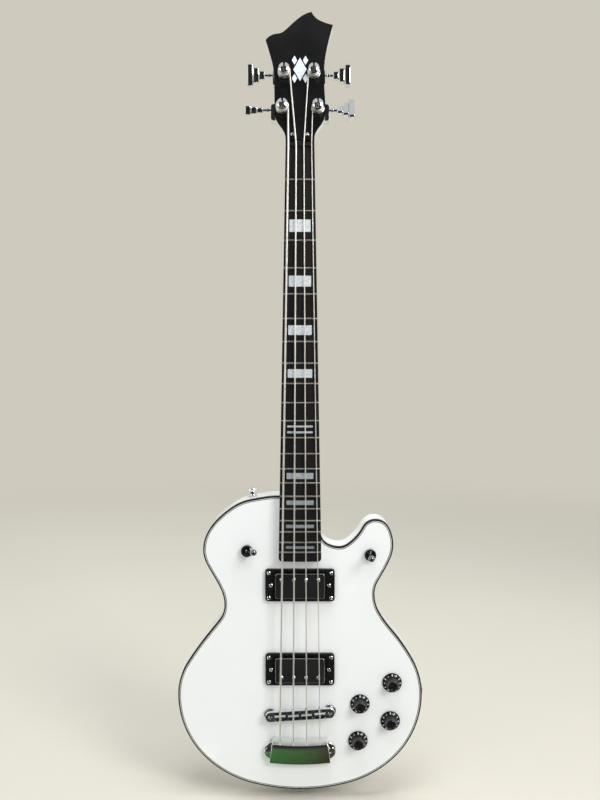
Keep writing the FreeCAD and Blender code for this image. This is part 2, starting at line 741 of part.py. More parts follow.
def ball_point(index):
    """Centre of the string's ball end, behind the front wall of the tailpiece."""
    x = string_place(index) * BRIDGE_SPACING
    z = TAIL_Z - TAIL_CAVITY_START - BALL_RADIUS - BALL_WALL_GAP
    return V(x, TOP_Y - BALL_RISE, z)


def winding_point(name, angle, height):
    """Point and direction of travel on a string's winding, in the head's own frame."""
    x, z, side = TUNERS[name]
    radius = POST_BARREL_RADIUS + STRING_RADII[name] + WINDING_CLEARANCE
    climb = 2 * STRING_RADII[name] + WINDING_GAP
    point = V(x + radius * math.cos(angle), height, z + radius * math.sin(angle))
    way = V(side * radius * math.sin(angle), -climb / (2 * math.pi), -side * radius * math.cos(angle))
    return point, way.normalize()


def winding_start(name, nut):
    """Angle on the post where the run from the nut touches it, on the post's inner side."""
    x, z, side = TUNERS[name]
    radius = POST_BARREL_RADIUS + STRING_RADII[name] + WINDING_CLEARANCE
    to_post = math.atan2(z - nut.z, x - nut.x)
    distance = math.hypot(x - nut.x, z - nut.z)
    run = to_post + side * math.asin(radius / distance)
    return run + side * math.pi / 2


def string_path(index):
    """Edges from the ball end over saddle and nut to the winding on the post."""
    name = STRING_NAMES[index]
    side = TUNERS[name][2]
    ball = ball_point(index)
    saddle = saddle_point(index)
    nut = nut_point(index)
    local_nut = HEAD.inverse().multVec(nut)
    start_angle = winding_start(name, local_nut)
    climb = 2 * STRING_RADII[name] + WINDING_GAP
    first_height = -OVERLAY_THICK - WASHER_THICK - POST_FOOT_CLEARANCE - STRING_RADII[name] - WINDING_GAP
    stops = []
    for quarter in range(4 * WINDING_TURNS + 1):
        angle = start_angle - side * quarter * math.pi / 2
        point, way = winding_point(name, angle, first_height - climb * quarter / 4)
        stops.append((HEAD.multVec(point), HEAD.Rotation.multVec(way)))
    touch = stops[0][0]
    tail_way = (saddle - ball).normalize()
    main_way = (nut - saddle).normalize()
    head_way = (touch - nut).normalize()
    start = ball + tail_way * BALL_RADIUS
    saddle_in = saddle - tail_way * STRING_BEND_RUN
    saddle_out = saddle + main_way * STRING_BEND_RUN
    nut_in = nut - main_way * STRING_BEND_RUN
    nut_out = nut + head_way * STRING_BEND_RUN
    approach = touch - head_way * WINDING_APPROACH
    edges = [line(start, saddle_in)] + biarc(saddle_in, tail_way, saddle_out, main_way)
    edges += [line(saddle_out, nut_in)] + biarc(nut_in, main_way, nut_out, head_way)
    edges += [line(nut_out, approach)] + biarc(approach, head_way, touch, stops[0][1])
    for here, there in zip(stops, stops[1:]):
        edges += biarc(here[0], here[1], there[0], there[1])
    return edges, start, tail_way


def string(index):
    name = STRING_NAMES[index]
    radius = STRING_RADII[name]
    edges, start, way = string_path(index)
    path = Part.Wire(edges)
    profile = Part.Wire(Part.makeCircle(radius, start, way))
    shape = path.makePipeShell([profile], True, False)
    measure_winding(name, radius, shape, path)
    return shape


def measure_winding(name, radius, shape, path):
    """Prints the tube's volume against its length, and the least gap between neighbouring turns."""
    expected = math.pi * radius ** 2 * path.Length
    climb = 2 * radius + WINDING_GAP
    gaps = []
    for step in range(WINDING_SAMPLES):
        point = winding_point(name, 2 * math.pi * step / WINDING_SAMPLES, 0)[0]
        for shift in range(-WINDING_NEIGHBOURS, WINDING_NEIGHBOURS + 1):
            angle = 2 * math.pi * (step + shift) / WINDING_SAMPLES
            other = winding_point(name, angle, climb * (1 + shift / WINDING_SAMPLES))[0]
            gaps.append((other - point).Length - 2 * radius)
    print("string", name, "volume ratio", round(shape.Volume / expected, 4), "least gap", round(min(gaps), 3))


def ball_end(index):
    centre = ball_point(index)
    return stem(centre - ACROSS * (BALL_LENGTH / 2), ACROSS, BALL_RADIUS, BALL_LENGTH)


def groove(point, before, after, radius):
    """Room for a string where it bends over a point."""
    way = ((point - before).normalize() + (after - point).normalize()).normalize()
    run = SADDLE_LENGTH + NUT_LENGTH
    return stem(point - way * run, way, radius + GROOVE_CLEARANCE, 2 * run)


def string_grooves_at_nut():
    tools = []
    for index, name in enumerate(STRING_NAMES):
        x, z, side = TUNERS[name]
        post = HEAD.multVec(V(x, -OVERLAY_THICK - WASHER_THICK, z))
        ahead = V(nut_point(index).x, post.y, post.z)
        tools.append(groove(nut_point(index), saddle_point(index), ahead, STRING_RADII[name]))
    return tools


def nut():
    front = BOARD_THICK + FRET_HEIGHT + NUT_STRING_LIFT + NUT_GROOVE_DEPTH
    half = board_half_width(NUT_Z + NUT_LENGTH)
    block = box(mirrored_x(half), (-front, 0), (NUT_Z, HEAD_Z))
    return block.common(board_cylinder(front - BOARD_THICK)).cut(string_grooves_at_nut())


# Tuners, in the head's own frame

def tuner_bushing(name):
    x, z, side = TUNERS[name]
    washer = rod(x, z, WASHER_RADIUS, -OVERLAY_THICK - WASHER_THICK, -OVERLAY_THICK)
    sleeve = rod(x, z, SLEEVE_RADIUS, -OVERLAY_THICK, SLEEVE_LENGTH - OVERLAY_THICK)
    bore = rod(x, z, POST_SHAFT_RADIUS + RUNNING_CLEARANCE, -OVERLAY_THICK - WASHER_THICK, SLEEVE_LENGTH)
    return on_head(washer.fuse(sleeve).cut(bore))


def worm_wheel(x, z):
    """Toothed wheel on the foot of the post."""
    points = []
    root = WHEEL_RADIUS - WHEEL_TOOTH_DEPTH
    for tooth in range(WHEEL_TEETH):
        for radius, share in ((root, 0), (root, TOOTH_ROOT_SHARE), (WHEEL_RADIUS, TOOTH_TIP_START_SHARE),
                              (WHEEL_RADIUS, TOOTH_TIP_END_SHARE)):
            angle = 2 * math.pi * (tooth + share) / WHEEL_TEETH
            points.append((x + radius * math.cos(angle), z + radius * math.sin(angle)))
    return prism(polygon(points), WORM_Y - WHEEL_THICK / 2, WORM_Y + WHEEL_THICK / 2)


def tuner_post(name):
    x, z, side = TUNERS[name]
    washer_front = -OVERLAY_THICK - WASHER_THICK
    barrel_back = washer_front - POST_FOOT_CLEARANCE
    barrel_front = barrel_back - POST_BARREL_LENGTH
    cap_front = barrel_front - POST_CAP_LENGTH
    shaft = rod(x, z, POST_SHAFT_RADIUS, barrel_back, WORM_Y + WHEEL_THICK / 2)
    barrel = rod(x, z, POST_BARREL_RADIUS, barrel_front, barrel_back)
    rim = cap_front + POST_CAP_LENGTH / 2
    crown = tangent_arc(V(0, cap_front, 0), ACROSS, V(POST_CAP_RADIUS, rim, 0))
    cap_points = [V(POST_CAP_RADIUS, rim, 0), V(POST_BARREL_RADIUS, barrel_front, 0), V(0, barrel_front, 0),
                  V(0, cap_front, 0)]
    cap = spun([crown] + [line(a, b) for a, b in zip(cap_points, cap_points[1:])], V(0, 0, 0), BACK)
    cap.translate(V(x, 0, z))
    post = shaft.fuse([barrel, cap, worm_wheel(x, z)])
    slot_half = POST_SLOT_WIDTH / 2
    slot = box((x - slot_half, x + slot_half), (cap_front, barrel_front),
               (z - POST_CAP_RADIUS, z + POST_CAP_RADIUS))
    return on_head(post.cut(slot))


def worm_axis(name):
    x, z, side = TUNERS[name]
    return V(x, WORM_Y, z + WORM_CENTRES)


def tuner_housing(name):
    x, z, side = TUNERS[name]
    width = HOUSING_INNER + HOUSING_OUTER
    height = HOUSING_BELOW + HOUSING_ABOVE
    middle_x = x + side * (HOUSING_OUTER - HOUSING_INNER) / 2
    middle_z = z + (HOUSING_ABOVE - HOUSING_BELOW) / 2
    back = HOUSING_Y + HOUSING_DEPTH
    shell = prism(rounded_rect(middle_x, middle_z, width, height, HOUSING_CORNER), HOUSING_Y, back)
    lug_z = z - HOUSING_BELOW - LUG_LENGTH
    lug = box((x - LUG_HALF_WIDTH, x + LUG_HALF_WIDTH), (HOUSING_Y, HOUSING_Y + LUG_THICK), (lug_z, z))
    inner_width = width - 2 * HOUSING_WALL
    inner_height = height - 2 * HOUSING_WALL
    inner_corner = HOUSING_CORNER - HOUSING_WALL
    room = prism(rounded_rect(middle_x, middle_z, inner_width, inner_height, inner_corner),
                 HOUSING_Y, back - HOUSING_WALL)
    hole_start = worm_axis(name) - ACROSS * width
    hole = stem(hole_start, ACROSS, WORM_RADIUS + RUNNING_CLEARANCE, 2 * width)
    return on_head(shell.fuse(lug).cut([room, hole]))


def housing_screw(name):
    x, z, side = TUNERS[name]
    top = V(x, HOUSING_Y + LUG_THICK + SCREW_HEAD, z - HOUSING_BELOW - LUG_LENGTH / 2)
    return on_head(screw(top, -BACK, SCREW_HEAD + LUG_THICK + LUG_SCREW_BITE))


def tuner_button(name):
    """Stepped button of three tiers on its worm shaft."""
    x, z, side = TUNERS[name]
    axis = worm_axis(name)
    start = axis - ACROSS * (side * (HOUSING_INNER - HOUSING_WALL / 2))
    shaft = stem(start, ACROSS * side, WORM_RADIUS, BUTTON_START + HOUSING_INNER - HOUSING_WALL / 2)
    shape = shaft
    reach = BUTTON_START
    for length, width, thick in BUTTON_TIERS:
        tier = prism(rounded_rect(0, 0, thick, width, BUTTON_CORNER), 0, length)
        tier.rotate(V(0, 0, 0), UP, -90 * side)
        tier.translate(axis + ACROSS * (side * reach))
        shape = shape.fuse(tier)
        reach += length
    shape.rotate(axis, ACROSS, BUTTON_REST_TURN[name])
    return on_head(shape)


# Body

def body_outline():
    edges = chain(BODY_OUTLINE, SCALE_END_Z)
    last = V(BODY_OUTLINE[-1][0], 0, SCALE_END_Z + BODY_OUTLINE[-1][1])
    first = V(BODY_OUTLINE[0][0], 0, JOIN_Z)
    side_low = V(POCKET_SIDE_X, 0, last.z + POCKET_CORNER)
    side_high = V(POCKET_SIDE_X, 0, JOIN_Z - POCKET_CORNER)
    across = V(POCKET_SIDE_X - POCKET_CORNER, 0, JOIN_Z)
    edges += biarc(last, heading(BODY_OUTLINE[-1][2]), side_low, UP)
    edges += [line(side_low, side_high)] + biarc(side_high, UP, across, -ACROSS) + [line(across, first)]
    return Part.Wire(Part.__sortEdges__(edges))


def ring_between(outer, inner, front, back):
    return prism(outer, front, back).cut(prism(inner, front, back))


def rounded_edge(solid, depth, radius):
    """Rounds the edges of a solid that lie at one depth."""
    rims = []
    for edge in solid.Edges:
        if all(abs(corner.Y - depth) < SAME_PLACE for corner in edge.Vertexes):
            rims.append(edge)
    return solid.makeFillet(radius, rims)


def binding(outline, neck_shape):
    """Black outer ply, white line and black inner ply along the front edge."""
    back = TOP_Y + BINDING_DEPTH
    line_edge = outline.makeOffset2D(-BINDING_OUTER)
    inner_edge = outline.makeOffset2D(-BINDING_OUTER - BINDING_LINE)
    last_edge = outline.makeOffset2D(-BINDING_OUTER - BINDING_LINE - BINDING_INNER)
    rim = rounded_edge(prism(outline, TOP_Y, back), TOP_Y, BINDING_EDGE_RADIUS)
    outer_ply = rim.cut([prism(line_edge, TOP_Y, back), neck_shape])
    white_line = ring_between(line_edge, inner_edge, TOP_Y, back).cut(neck_shape)
    inner_ply = ring_between(inner_edge, last_edge, TOP_Y, back).cut(neck_shape)
    ledge = ring_between(outline, last_edge, TOP_Y, back)
    return [outer_ply, inner_ply], [white_line], ledge


def control_corners():
    order = ("neck_volume", "bridge_volume", "bridge_tone", "neck_tone")
    return [(KNOBS[name][0], SCALE_END_Z + KNOBS[name][1]) for name in order]


def control_room():
    wire = polygon(control_corners()).makeOffset2D(CAVITY_MARGIN)
    return prism(wire, CAVITY_TOP_Y, BACK_Y)


def control_plate():
    wire = polygon(control_corners()).makeOffset2D(CAVITY_MARGIN + COVER_LEDGE)
    return prism(wire, BACK_Y - BACK_COVER_THICK, BACK_Y)


def control_screws():
    """One flush screw outside each corner of the control cavity."""
    corners = control_corners()
    middle_x = sum(x for x, z in corners) / len(corners)
    middle_z = sum(z for x, z in corners) / len(corners)
    reach = CAVITY_MARGIN + COVER_SCREW_INSET
    screws = []
    for x, z in corners:
        out = V(x - middle_x, 0, z - middle_z).normalize() * reach
        screws.append(screw(V(x + out.x, BACK_Y, z + out.z), -BACK))
    return screws


def switch_place(name):
    return SWITCHES[name][0], SCALE_END_Z + SWITCHES[name][1]


def switch_room(name):
    x, z = switch_place(name)
    return rod(x, z, SWITCH_CAVITY_RADIUS, CAVITY_TOP_Y, BACK_Y)


def switch_plate(name):
    x, z = switch_place(name)
    return rod(x, z, SWITCH_CAVITY_RADIUS + COVER_LEDGE, BACK_Y - BACK_COVER_THICK, BACK_Y)


def switch_screws(name):
    x, z = switch_place(name)
    reach = SWITCH_CAVITY_RADIUS + COVER_SCREW_INSET
    return [screw(V(x, BACK_Y, z) + heading(90 + 120 * turn) * reach, -BACK) for turn in range(3)]


def pickup_rout(z):
    floor = TOP_Y + ROUT_DEPTH
    main = prism(rounded_rect(0, z, ROUT_WIDTH, ROUT_HEIGHT, ROUT_CORNER), TOP_Y, floor)
    ears = prism(rounded_rect(0, z, ROUT_EAR_WIDTH, ROUT_EAR_HEIGHT, ROUT_CORNER), TOP_Y, floor)
    return main.fuse(ears)


def jack_axis_z():
    return SCALE_END_Z + LOWER_BOUT_HEIGHT


def jack_inner_x():
    return LOWER_BOUT_HALF_WIDTH - JACK_PLATE_SINK


def jack_room():
    start = V(max(x for x, z in control_corners()), RIM_Y, jack_axis_z())
    return stem(start, ACROSS, JACK_HOLE_RADIUS, LOWER_BOUT_HALF_WIDTH - start.x)


def jack_recess(reach):
    half_y = JACK_PLATE_WIDTH / 2
    half_z = JACK_PLATE_HEIGHT / 2
    z = jack_axis_z()
    return box((jack_inner_x(), jack_inner_x() + reach), (RIM_Y - half_y, RIM_Y + half_y),
               (z - half_z, z + half_z))


def body_holes():
    """Round holes through the top for pots, switches and the bridge's bushings."""
    holes = [rod(x, SCALE_END_Z + z, POT_BUSHING_RADIUS, TOP_Y, CAVITY_TOP_Y) for x, z in KNOBS.values()]
    for name in SWITCHES:
        x, z = switch_place(name)
        holes.append(rod(x, z, SWITCH_BUSHING_RADIUS, TOP_Y, CAVITY_TOP_Y))
    for x, z, bore in stud_places():
        holes.append(rod(x, z, STUD_BUSHING_RADIUS, TOP_Y, TOP_Y + STUD_BUSHING_LENGTH))
    return holes


def body(outline, neck_shape, ledge, screws):
    blank = rounded_edge(prism(outline, TOP_Y, BACK_Y), BACK_Y, BACK_EDGE_RADIUS)
    rooms = [ledge, neck_shape, control_room(), control_plate(), jack_room(), jack_recess(JACK_HOLE_RADIUS)]
    rooms += [pickup_rout(NECK_PICKUP_Z), pickup_rout(BRIDGE_PICKUP_Z)]
    rooms += [switch_room(name) for name in SWITCHES] + [switch_plate(name) for name in SWITCHES]
    return blank.cut(rooms + body_holes() + screws)


# Pickups

def ring_screws(z):
    front = TOP_Y - RING_RISE - SCREW_HEAD
    return [screw(V(x, front, z + dz), BACK, SCREW_LENGTH + RING_RISE)
            for x in mirrored_x(RING_SCREW_X) for dz in mirrored_x(RING_SCREW_Z)]


def height_screws(z):
    front = TOP_Y - RING_RISE - SCREW_HEAD
    return [screw(V(x, front, z), BACK, HEIGHT_SCREW_LENGTH) for x in mirrored_x(HEIGHT_SCREW_X)]


def pickup_ring(z, screws):
    frame = prism(rounded_rect(0, z, RING_WIDTH, RING_HEIGHT, RING_CORNER), TOP_Y - RING_RISE, TOP_Y)
    width = PICKUP_WIDTH + 2 * PICKUP_SIDE_GAP
    height = PICKUP_HEIGHT + 2 * PICKUP_SIDE_GAP
    window = prism(rounded_rect(0, z, width, height, PICKUP_CORNER), TOP_Y - RING_RISE, TOP_Y)
    return frame.cut([window] + screws)


def pickup_front():
    return TOP_Y - PICKUP_RISE


def pickup_back():
    return pickup_front() + PICKUP_DEPTH


def pole_places(z, side):
    count = len(STRING_NAMES)
    return [((index - (count - 1) / 2) * POLE_SPACING, z + side * POLE_OFFSET) for index in range(count)]


def pole_screws(z, side):
    front = pickup_front() - POLE_PROUD
    return [rod(x, place, POLE_RADIUS, front, front + POLE_LENGTH) for x, place in pole_places(z, side)]


def pickup_cover(z, side):
    outer = rounded_rect(0, z, PICKUP_WIDTH, PICKUP_HEIGHT, PICKUP_CORNER)
    shell = prism(outer, pickup_front(), pickup_back())
    inner = rounded_rect(0, z, PICKUP_WIDTH - 2 * PICKUP_WALL, PICKUP_HEIGHT - 2 * PICKUP_WALL,
                         PICKUP_CORNER - PICKUP_WALL)
    return shell.cut([prism(inner, pickup_front() + PICKUP_WALL, pickup_back())] + pole_screws(z, side))


def pickup_base(z):
    """Base plate with an ear on each side for the height screws."""
    front = pickup_back()
    back = front + BASE_THICK
    plate = prism(rounded_rect(0, z, PICKUP_WIDTH, PICKUP_HEIGHT, PICKUP_CORNER), front, back)
    ears = prism(rounded_rect(0, z, 2 * EAR_REACH, EAR_WIDTH, PICKUP_CORNER), front, back)
    holes = [rod(x, z, SCREW_RADIUS + RUNNING_CLEARANCE, front, back) for x in mirrored_x(HEIGHT_SCREW_X)]
    return plate.fuse(ears).cut(holes)


def pickup_coils(z, side):
    """Two bobbins on a bar magnet."""
    magnet_front = pickup_back() - MAGNET_THICK
    half = MAGNET_WIDTH / 2
    magnet = box(mirrored_x(MAGNET_LENGTH / 2), (magnet_front, pickup_back()), (z - half, z + half))
    coils = [magnet]
    for end in (-1, 1):
        wire = stadium(z + end * POLE_OFFSET, BOBBIN_LENGTH, BOBBIN_WIDTH)
        coils.append(prism(wire, magnet_front - BOBBIN_HEIGHT, magnet_front).cut(pole_screws(z, side)))
    return coils


# Bridge and tailpiece, the bridge in its own slanted frame

def bar_top_y():
    return TOP_Y - BAR_LIFT - BAR_THICK


def bar_bottom_y():
    return TOP_Y - BAR_LIFT


def bridge_bar(screws):
    bar = prism(stadium(0, BAR_LENGTH, BAR_WIDTH), bar_top_y(), bar_bottom_y())
    slot_half = -saddle_x(0) + SADDLE_WIDTH / 2 + BAR_SLOT_END_GAP
    slot = box(mirrored_x(slot_half), (bar_top_y(), bar_top_y() + BAR_SLOT_DEPTH),
               mirrored_x(BAR_SLOT_WIDTH / 2))
    holes = [rod(x, 0, BRIDGE_POST_RADIUS + RUNNING_CLEARANCE, bar_top_y(), bar_bottom_y())
             for x in mirrored_x(BRIDGE_POST_X)]
    return on_bridge(bar.cut([slot] + holes)).cut(screws)


def saddle_x(index):
    return string_place(index) * BRIDGE_SPACING / math.cos(math.radians(BRIDGE_SLANT))


def saddle_screw_y():
    return bar_top_y() + SADDLE_SCREW_DEPTH


def saddle_screw(index):
    """Screw across the bar's slot with its head on the neck side."""
    x = saddle_x(index)
    half = BAR_WIDTH / 2
    shaft = stem(V(x, saddle_screw_y(), -half), UP, SADDLE_SCREW_RADIUS, BAR_WIDTH)
    head = stem(V(x, saddle_screw_y(), half), UP, SADDLE_SCREW_HEAD_RADIUS, SADDLE_SCREW_HEAD)
    return on_bridge(shaft.fuse(head))


def saddle(index):
    """Ridged block that carries one string and slides along its screw."""
    name = STRING_NAMES[index]
    x = saddle_x(index)
    point = saddle_point(index)
    crest = point.y + STRING_RADII[name] / 2
    seat = bar_top_y() + BAR_SLOT_DEPTH - SADDLE_SEAT_GAP
    shoulder = bar_top_y()
    half = SADDLE_LENGTH / 2
    top_half = SADDLE_CREST_LENGTH / 2
    corners = [V(0, seat, -half), V(0, seat, half), V(0, shoulder, half), V(0, crest, top_half),
               V(0, crest, -top_half), V(0, shoulder, -half)]
    face = Part.Face(Part.Wire(closed_edges(corners)))
    block = face.extrude(ACROSS * SADDLE_WIDTH)
    block.translate(ACROSS * (x - SADDLE_WIDTH / 2))
    hole_start = V(x, saddle_screw_y(), -BAR_WIDTH)
    hole = stem(hole_start, UP, SADDLE_SCREW_RADIUS + RUNNING_CLEARANCE, 2 * BAR_WIDTH)
    room = groove(point, ball_point(index), nut_point(index), STRING_RADII[name])
    return on_bridge(block.cut(hole)).cut(room)


def bridge_post_place(x):
    return BRIDGE.multVec(V(x, 0, 0))


def stud_places():
    """Every bushing in the body's top, with the radius of the post it takes."""
    places = []
    for x in mirrored_x(BRIDGE_POST_X):
        place = bridge_post_place(x)
        places.append((place.x, place.z, BRIDGE_POST_RADIUS))
    places += [(x, TAIL_Z - EAR_DROP, STUD_RADIUS) for x in mirrored_x(STUD_X)]
    return places


def stud_bushings():
    return [tube(x, z, STUD_BUSHING_RADIUS, bore, TOP_Y, TOP_Y + STUD_BUSHING_LENGTH)
            for x, z, bore in stud_places()]


def bridge_posts():
    shapes = []
    for x in mirrored_x(BRIDGE_POST_X):
        place = bridge_post_place(x)
        shapes.append(rod(place.x, place.z, BRIDGE_POST_RADIUS, bar_top_y(), TOP_Y + BRIDGE_POST_DEPTH))
    return shapes


def thumbwheel(side):
    place = bridge_post_place(side * BRIDGE_POST_X)
    bore = BRIDGE_POST_RADIUS + RUNNING_CLEARANCE
    return tube(place.x, place.z, THUMBWHEEL_RADIUS, bore, bar_bottom_y(), bar_bottom_y() + THUMBWHEEL_THICK)


def tail_corner(drop, rise):
    return V(0, TOP_Y - rise, TAIL_Z - drop)


def tailpiece():
    """Bowed cast bar with a sloped front, a crowned back and an ear for each stud."""
    front_low = tail_corner(0, TAIL_LIFT)
    front_high = tail_corner(TAIL_FRONT_SLOPE, TAIL_FRONT_RISE)
    crest = tail_corner(TAIL_CREST, TAIL_CREST_RISE)
    middle = tail_corner(TAIL_BACK_MIDDLE, TAIL_BACK_MIDDLE_RISE)
    back_high = tail_corner(TAIL_LENGTH, TAIL_BACK_RISE)
    back_low = tail_corner(TAIL_LENGTH, TAIL_LIFT)
    crown = Part.Arc(crest, middle, back_high).toShape()
    edges = [line(front_low, front_high), line(front_high, crest), crown, line(back_high, back_low),
             line(back_low, front_low)]
    face = Part.Face(Part.Wire(edges))
    centre = V(0, 0, TAIL_Z + TAIL_BOW_RADIUS)
    spread = math.degrees(math.asin(TAIL_HALF_WIDTH / TAIL_BOW_RADIUS))
    face.rotate(centre, BACK, -spread)
    bar = face.revolve(centre, BACK, 2 * spread)
    ear_z = TAIL_Z - EAR_DROP
    bottom = TOP_Y - TAIL_LIFT
    ears = [rod(x, ear_z, EAR_RADIUS, bottom - EAR_THICK, bottom) for x in mirrored_x(EAR_X)]
    room_top = TAIL_Z - TAIL_CAVITY_START
    room_ceiling = TOP_Y - BALL_RISE - BALL_RADIUS - BALL_WALL_GAP
    room = box(mirrored_x(TAIL_CAVITY_HALF_WIDTH), (room_ceiling, TOP_Y),
               (room_top - TAIL_CAVITY_LENGTH, room_top))
    top = TOP_Y - TAIL_CREST_RISE
    holes = [rod(x, ear_z, STUD_RADIUS + RUNNING_CLEARANCE, top, bottom) for x in mirrored_x(STUD_X)]
    heads = [rod(x, ear_z, STUD_HEAD_RADIUS + RUNNING_CLEARANCE, top, bottom - EAR_THICK)
             for x in mirrored_x(STUD_X)]
    for index in range(len(STRING_NAMES)):
        ball = ball_point(index)
        holes.append(stem(ball, (saddle_point(index) - ball).normalize(), TAIL_HOLE_RADIUS, TAIL_LENGTH))
    return bar.fuse(ears).cut([room] + holes + heads)


def tailpiece_studs():
    shapes = []
    seat = TOP_Y - TAIL_LIFT - EAR_THICK
    for x in mirrored_x(STUD_X):
        z = TAIL_Z - EAR_DROP
        head = rod(x, z, STUD_HEAD_RADIUS, seat - STUD_HEAD, seat)
        shank = rod(x, z, STUD_RADIUS, seat, TOP_Y + STUD_DEPTH)
        slot = box((x - STUD_HEAD_RADIUS, x + STUD_HEAD_RADIUS), (seat - STUD_HEAD, seat - STUD_HEAD / 2),
                   (z - SCREW_RADIUS / 2, z + SCREW_RADIUS / 2))
        shapes.append(head.fuse(shank).cut(slot))
    return shapes


# Controls

def knob(name):
    """Bell-shaped knob and the pot shaft that it turns with."""
    x, height = KNOBS[name]

    def at(radius, rise):
        return V(radius, TOP_Y - rise, 0)

    skirt_low = at(KNOB_SKIRT_RADIUS, KNOB_GAP)
    skirt_high = at(KNOB_SKIRT_RADIUS, KNOB_GAP + KNOB_SKIRT_RIM)
    flank = at(KNOB_FLANK_RADIUS, KNOB_FLANK_RISE)
    neck_point = at(KNOB_NECK_RADIUS, KNOB_NECK_RISE)
    hat = at(KNOB_HAT_RADIUS, KNOB_HAT_RISE)
    shoulder = at(KNOB_HAT_RADIUS - KNOB_CROWN, KNOB_HAT_RISE + KNOB_CROWN)
    top = at(0, KNOB_HAT_RISE + KNOB_CROWN)
    bore_top = at(0, SHAFT_RISE)
    bore_side = at(SHAFT_RADIUS, SHAFT_RISE)
    bore_low = at(SHAFT_RADIUS, KNOB_HOLLOW_RISE)
    hollow_high = at(KNOB_HOLLOW_RADIUS, KNOB_HOLLOW_RISE)
    hollow_low = at(KNOB_HOLLOW_RADIUS, KNOB_GAP)
    edges = [line(skirt_low, skirt_high), Part.Arc(skirt_high, flank, neck_point).toShape()]
    rest = [neck_point, hat, shoulder, top, bore_top, bore_side, bore_low, hollow_high, hollow_low, skirt_low]
    edges += [line(a, b) for a, b in zip(rest, rest[1:])]
    cap = spun(edges, V(0, 0, 0), BACK)
    cap.translate(V(x, 0, SCALE_END_Z + height))
    shaft = rod(x, SCALE_END_Z + height, SHAFT_RADIUS, TOP_Y - SHAFT_RISE, CAVITY_TOP_Y + POT_DEPTH / 2)
    return [cap, shaft]


def potentiometer(name):
    x, height = KNOBS[name]
    z = SCALE_END_Z + height
    can = rod(x, z, POT_RADIUS, CAVITY_TOP_Y, CAVITY_TOP_Y + POT_DEPTH)
    bushing = rod(x, z, POT_BUSHING_RADIUS, TOP_Y - POT_BUSHING_RISE, CAVITY_TOP_Y)
    bore = rod(x, z, SHAFT_RADIUS + RUNNING_CLEARANCE, TOP_Y - POT_BUSHING_RISE, CAVITY_TOP_Y + POT_DEPTH / 2)
    ring = tube(x, z, POT_NUT_RADIUS, POT_BUSHING_RADIUS, TOP_Y - POT_NUT_RISE, TOP_Y)
    return [can.fuse(bushing).cut(bore), ring]


def pivot_y():
    return TOP_Y - PIVOT_RISE


def switch_collar(name):
    x, z = switch_place(name)
    return tube(x, z, COLLAR_RADIUS, SWITCH_BUSHING_RADIUS, TOP_Y - COLLAR_RISE, TOP_Y)


def cone(x, z, front_radius, back_radius, front, back):
    return Part.makeCone(front_radius, back_radius, back - front, V(x, front, z), BACK)


def switch_frame(name):
    """Threaded bushing on a round plate, with two contact leaves under it."""
    x, z = switch_place(name)
    front = TOP_Y - COLLAR_RISE
    plate_back = CAVITY_TOP_Y + SWITCH_PLATE_THICK
    bushing = rod(x, z, SWITCH_BUSHING_RADIUS, front, CAVITY_TOP_Y)
    plate = rod(x, z, SWITCH_PLATE_RADIUS, CAVITY_TOP_Y, plate_back)
    half = SWITCH_LEAF_WIDTH / 2
    leaves = [box((x + side - SWITCH_LEAF_THICK / 2, x + side + SWITCH_LEAF_THICK / 2),
                  (plate_back, plate_back + SWITCH_LEAF_LENGTH), (z - half, z + half))
              for side in mirrored_x(SWITCH_LEAF_OFFSET)]
    seat_half = LEVER_BALL_RADIUS / 2
    seat_front = pivot_y() - seat_half
    seat_back = pivot_y() + seat_half
    mouth = cone(x, z, SWITCH_MOUTH_RADIUS, SWITCH_SEAT_RADIUS, front, seat_front)
    seat = rod(x, z, SWITCH_SEAT_RADIUS, seat_front, seat_back)
    flare = cone(x, z, SWITCH_SEAT_RADIUS, SWITCH_FLARE_RADIUS, seat_back, plate_back)
    shape = bushing.fuse([plate] + leaves).cut([mouth, seat, flare])
    shape.rotate(V(x, 0, z), BACK, SWITCHES[name][3])
    return shape


def switch_lever(name):
    """Lever with its ball, inner tail and barrel-shaped tip, leaning as it rests."""
    x, z = switch_place(name)
    pivot = V(0, 0, 0)
    ball = Part.makeSphere(LEVER_BALL_RADIUS, pivot)
    arm = stem(pivot, -BACK, LEVER_RADIUS, TIP_START)
    tail = stem(pivot, BACK, LEVER_TAIL_RADIUS, LEVER_TAIL)
    shaft = ball.fuse([arm, tail])
    widest = V(TIP_RADIUS, TIP_RADIUS - TIP_END, 0)
    end = V(0, -TIP_END, 0)
    foot = V(TIP_NECK_RADIUS, -TIP_START, 0)
    foot_centre = V(0, -TIP_START, 0)
    dome = tangent_arc(widest, -BACK, end)
    tip = spun([line(foot, widest), dome, line(end, foot_centre), line(foot_centre, foot)], pivot, BACK)
    shapes = [shaft, tip]
    for shape in shapes:
        shape.rotate(pivot, UP, SWITCHES[name][2])
        shape.rotate(pivot, BACK, SWITCHES[name][3])
        shape.translate(V(x, pivot_y(), z))
    return shapes


def jack_plate(screws):
    plate = jack_recess(JACK_PLATE_THICK)
    start = V(jack_inner_x(), RIM_Y, jack_axis_z())
    return plate.cut([stem(start, ACROSS, JACK_BARREL_RADIUS, JACK_PLATE_THICK)] + screws)


def jack_screws():
    outer = jack_inner_x() + JACK_PLATE_THICK + SCREW_HEAD
    return [screw(V(outer, RIM_Y, jack_axis_z() + dz), -ACROSS) for dz in mirrored_x(JACK_SCREW_Z)]


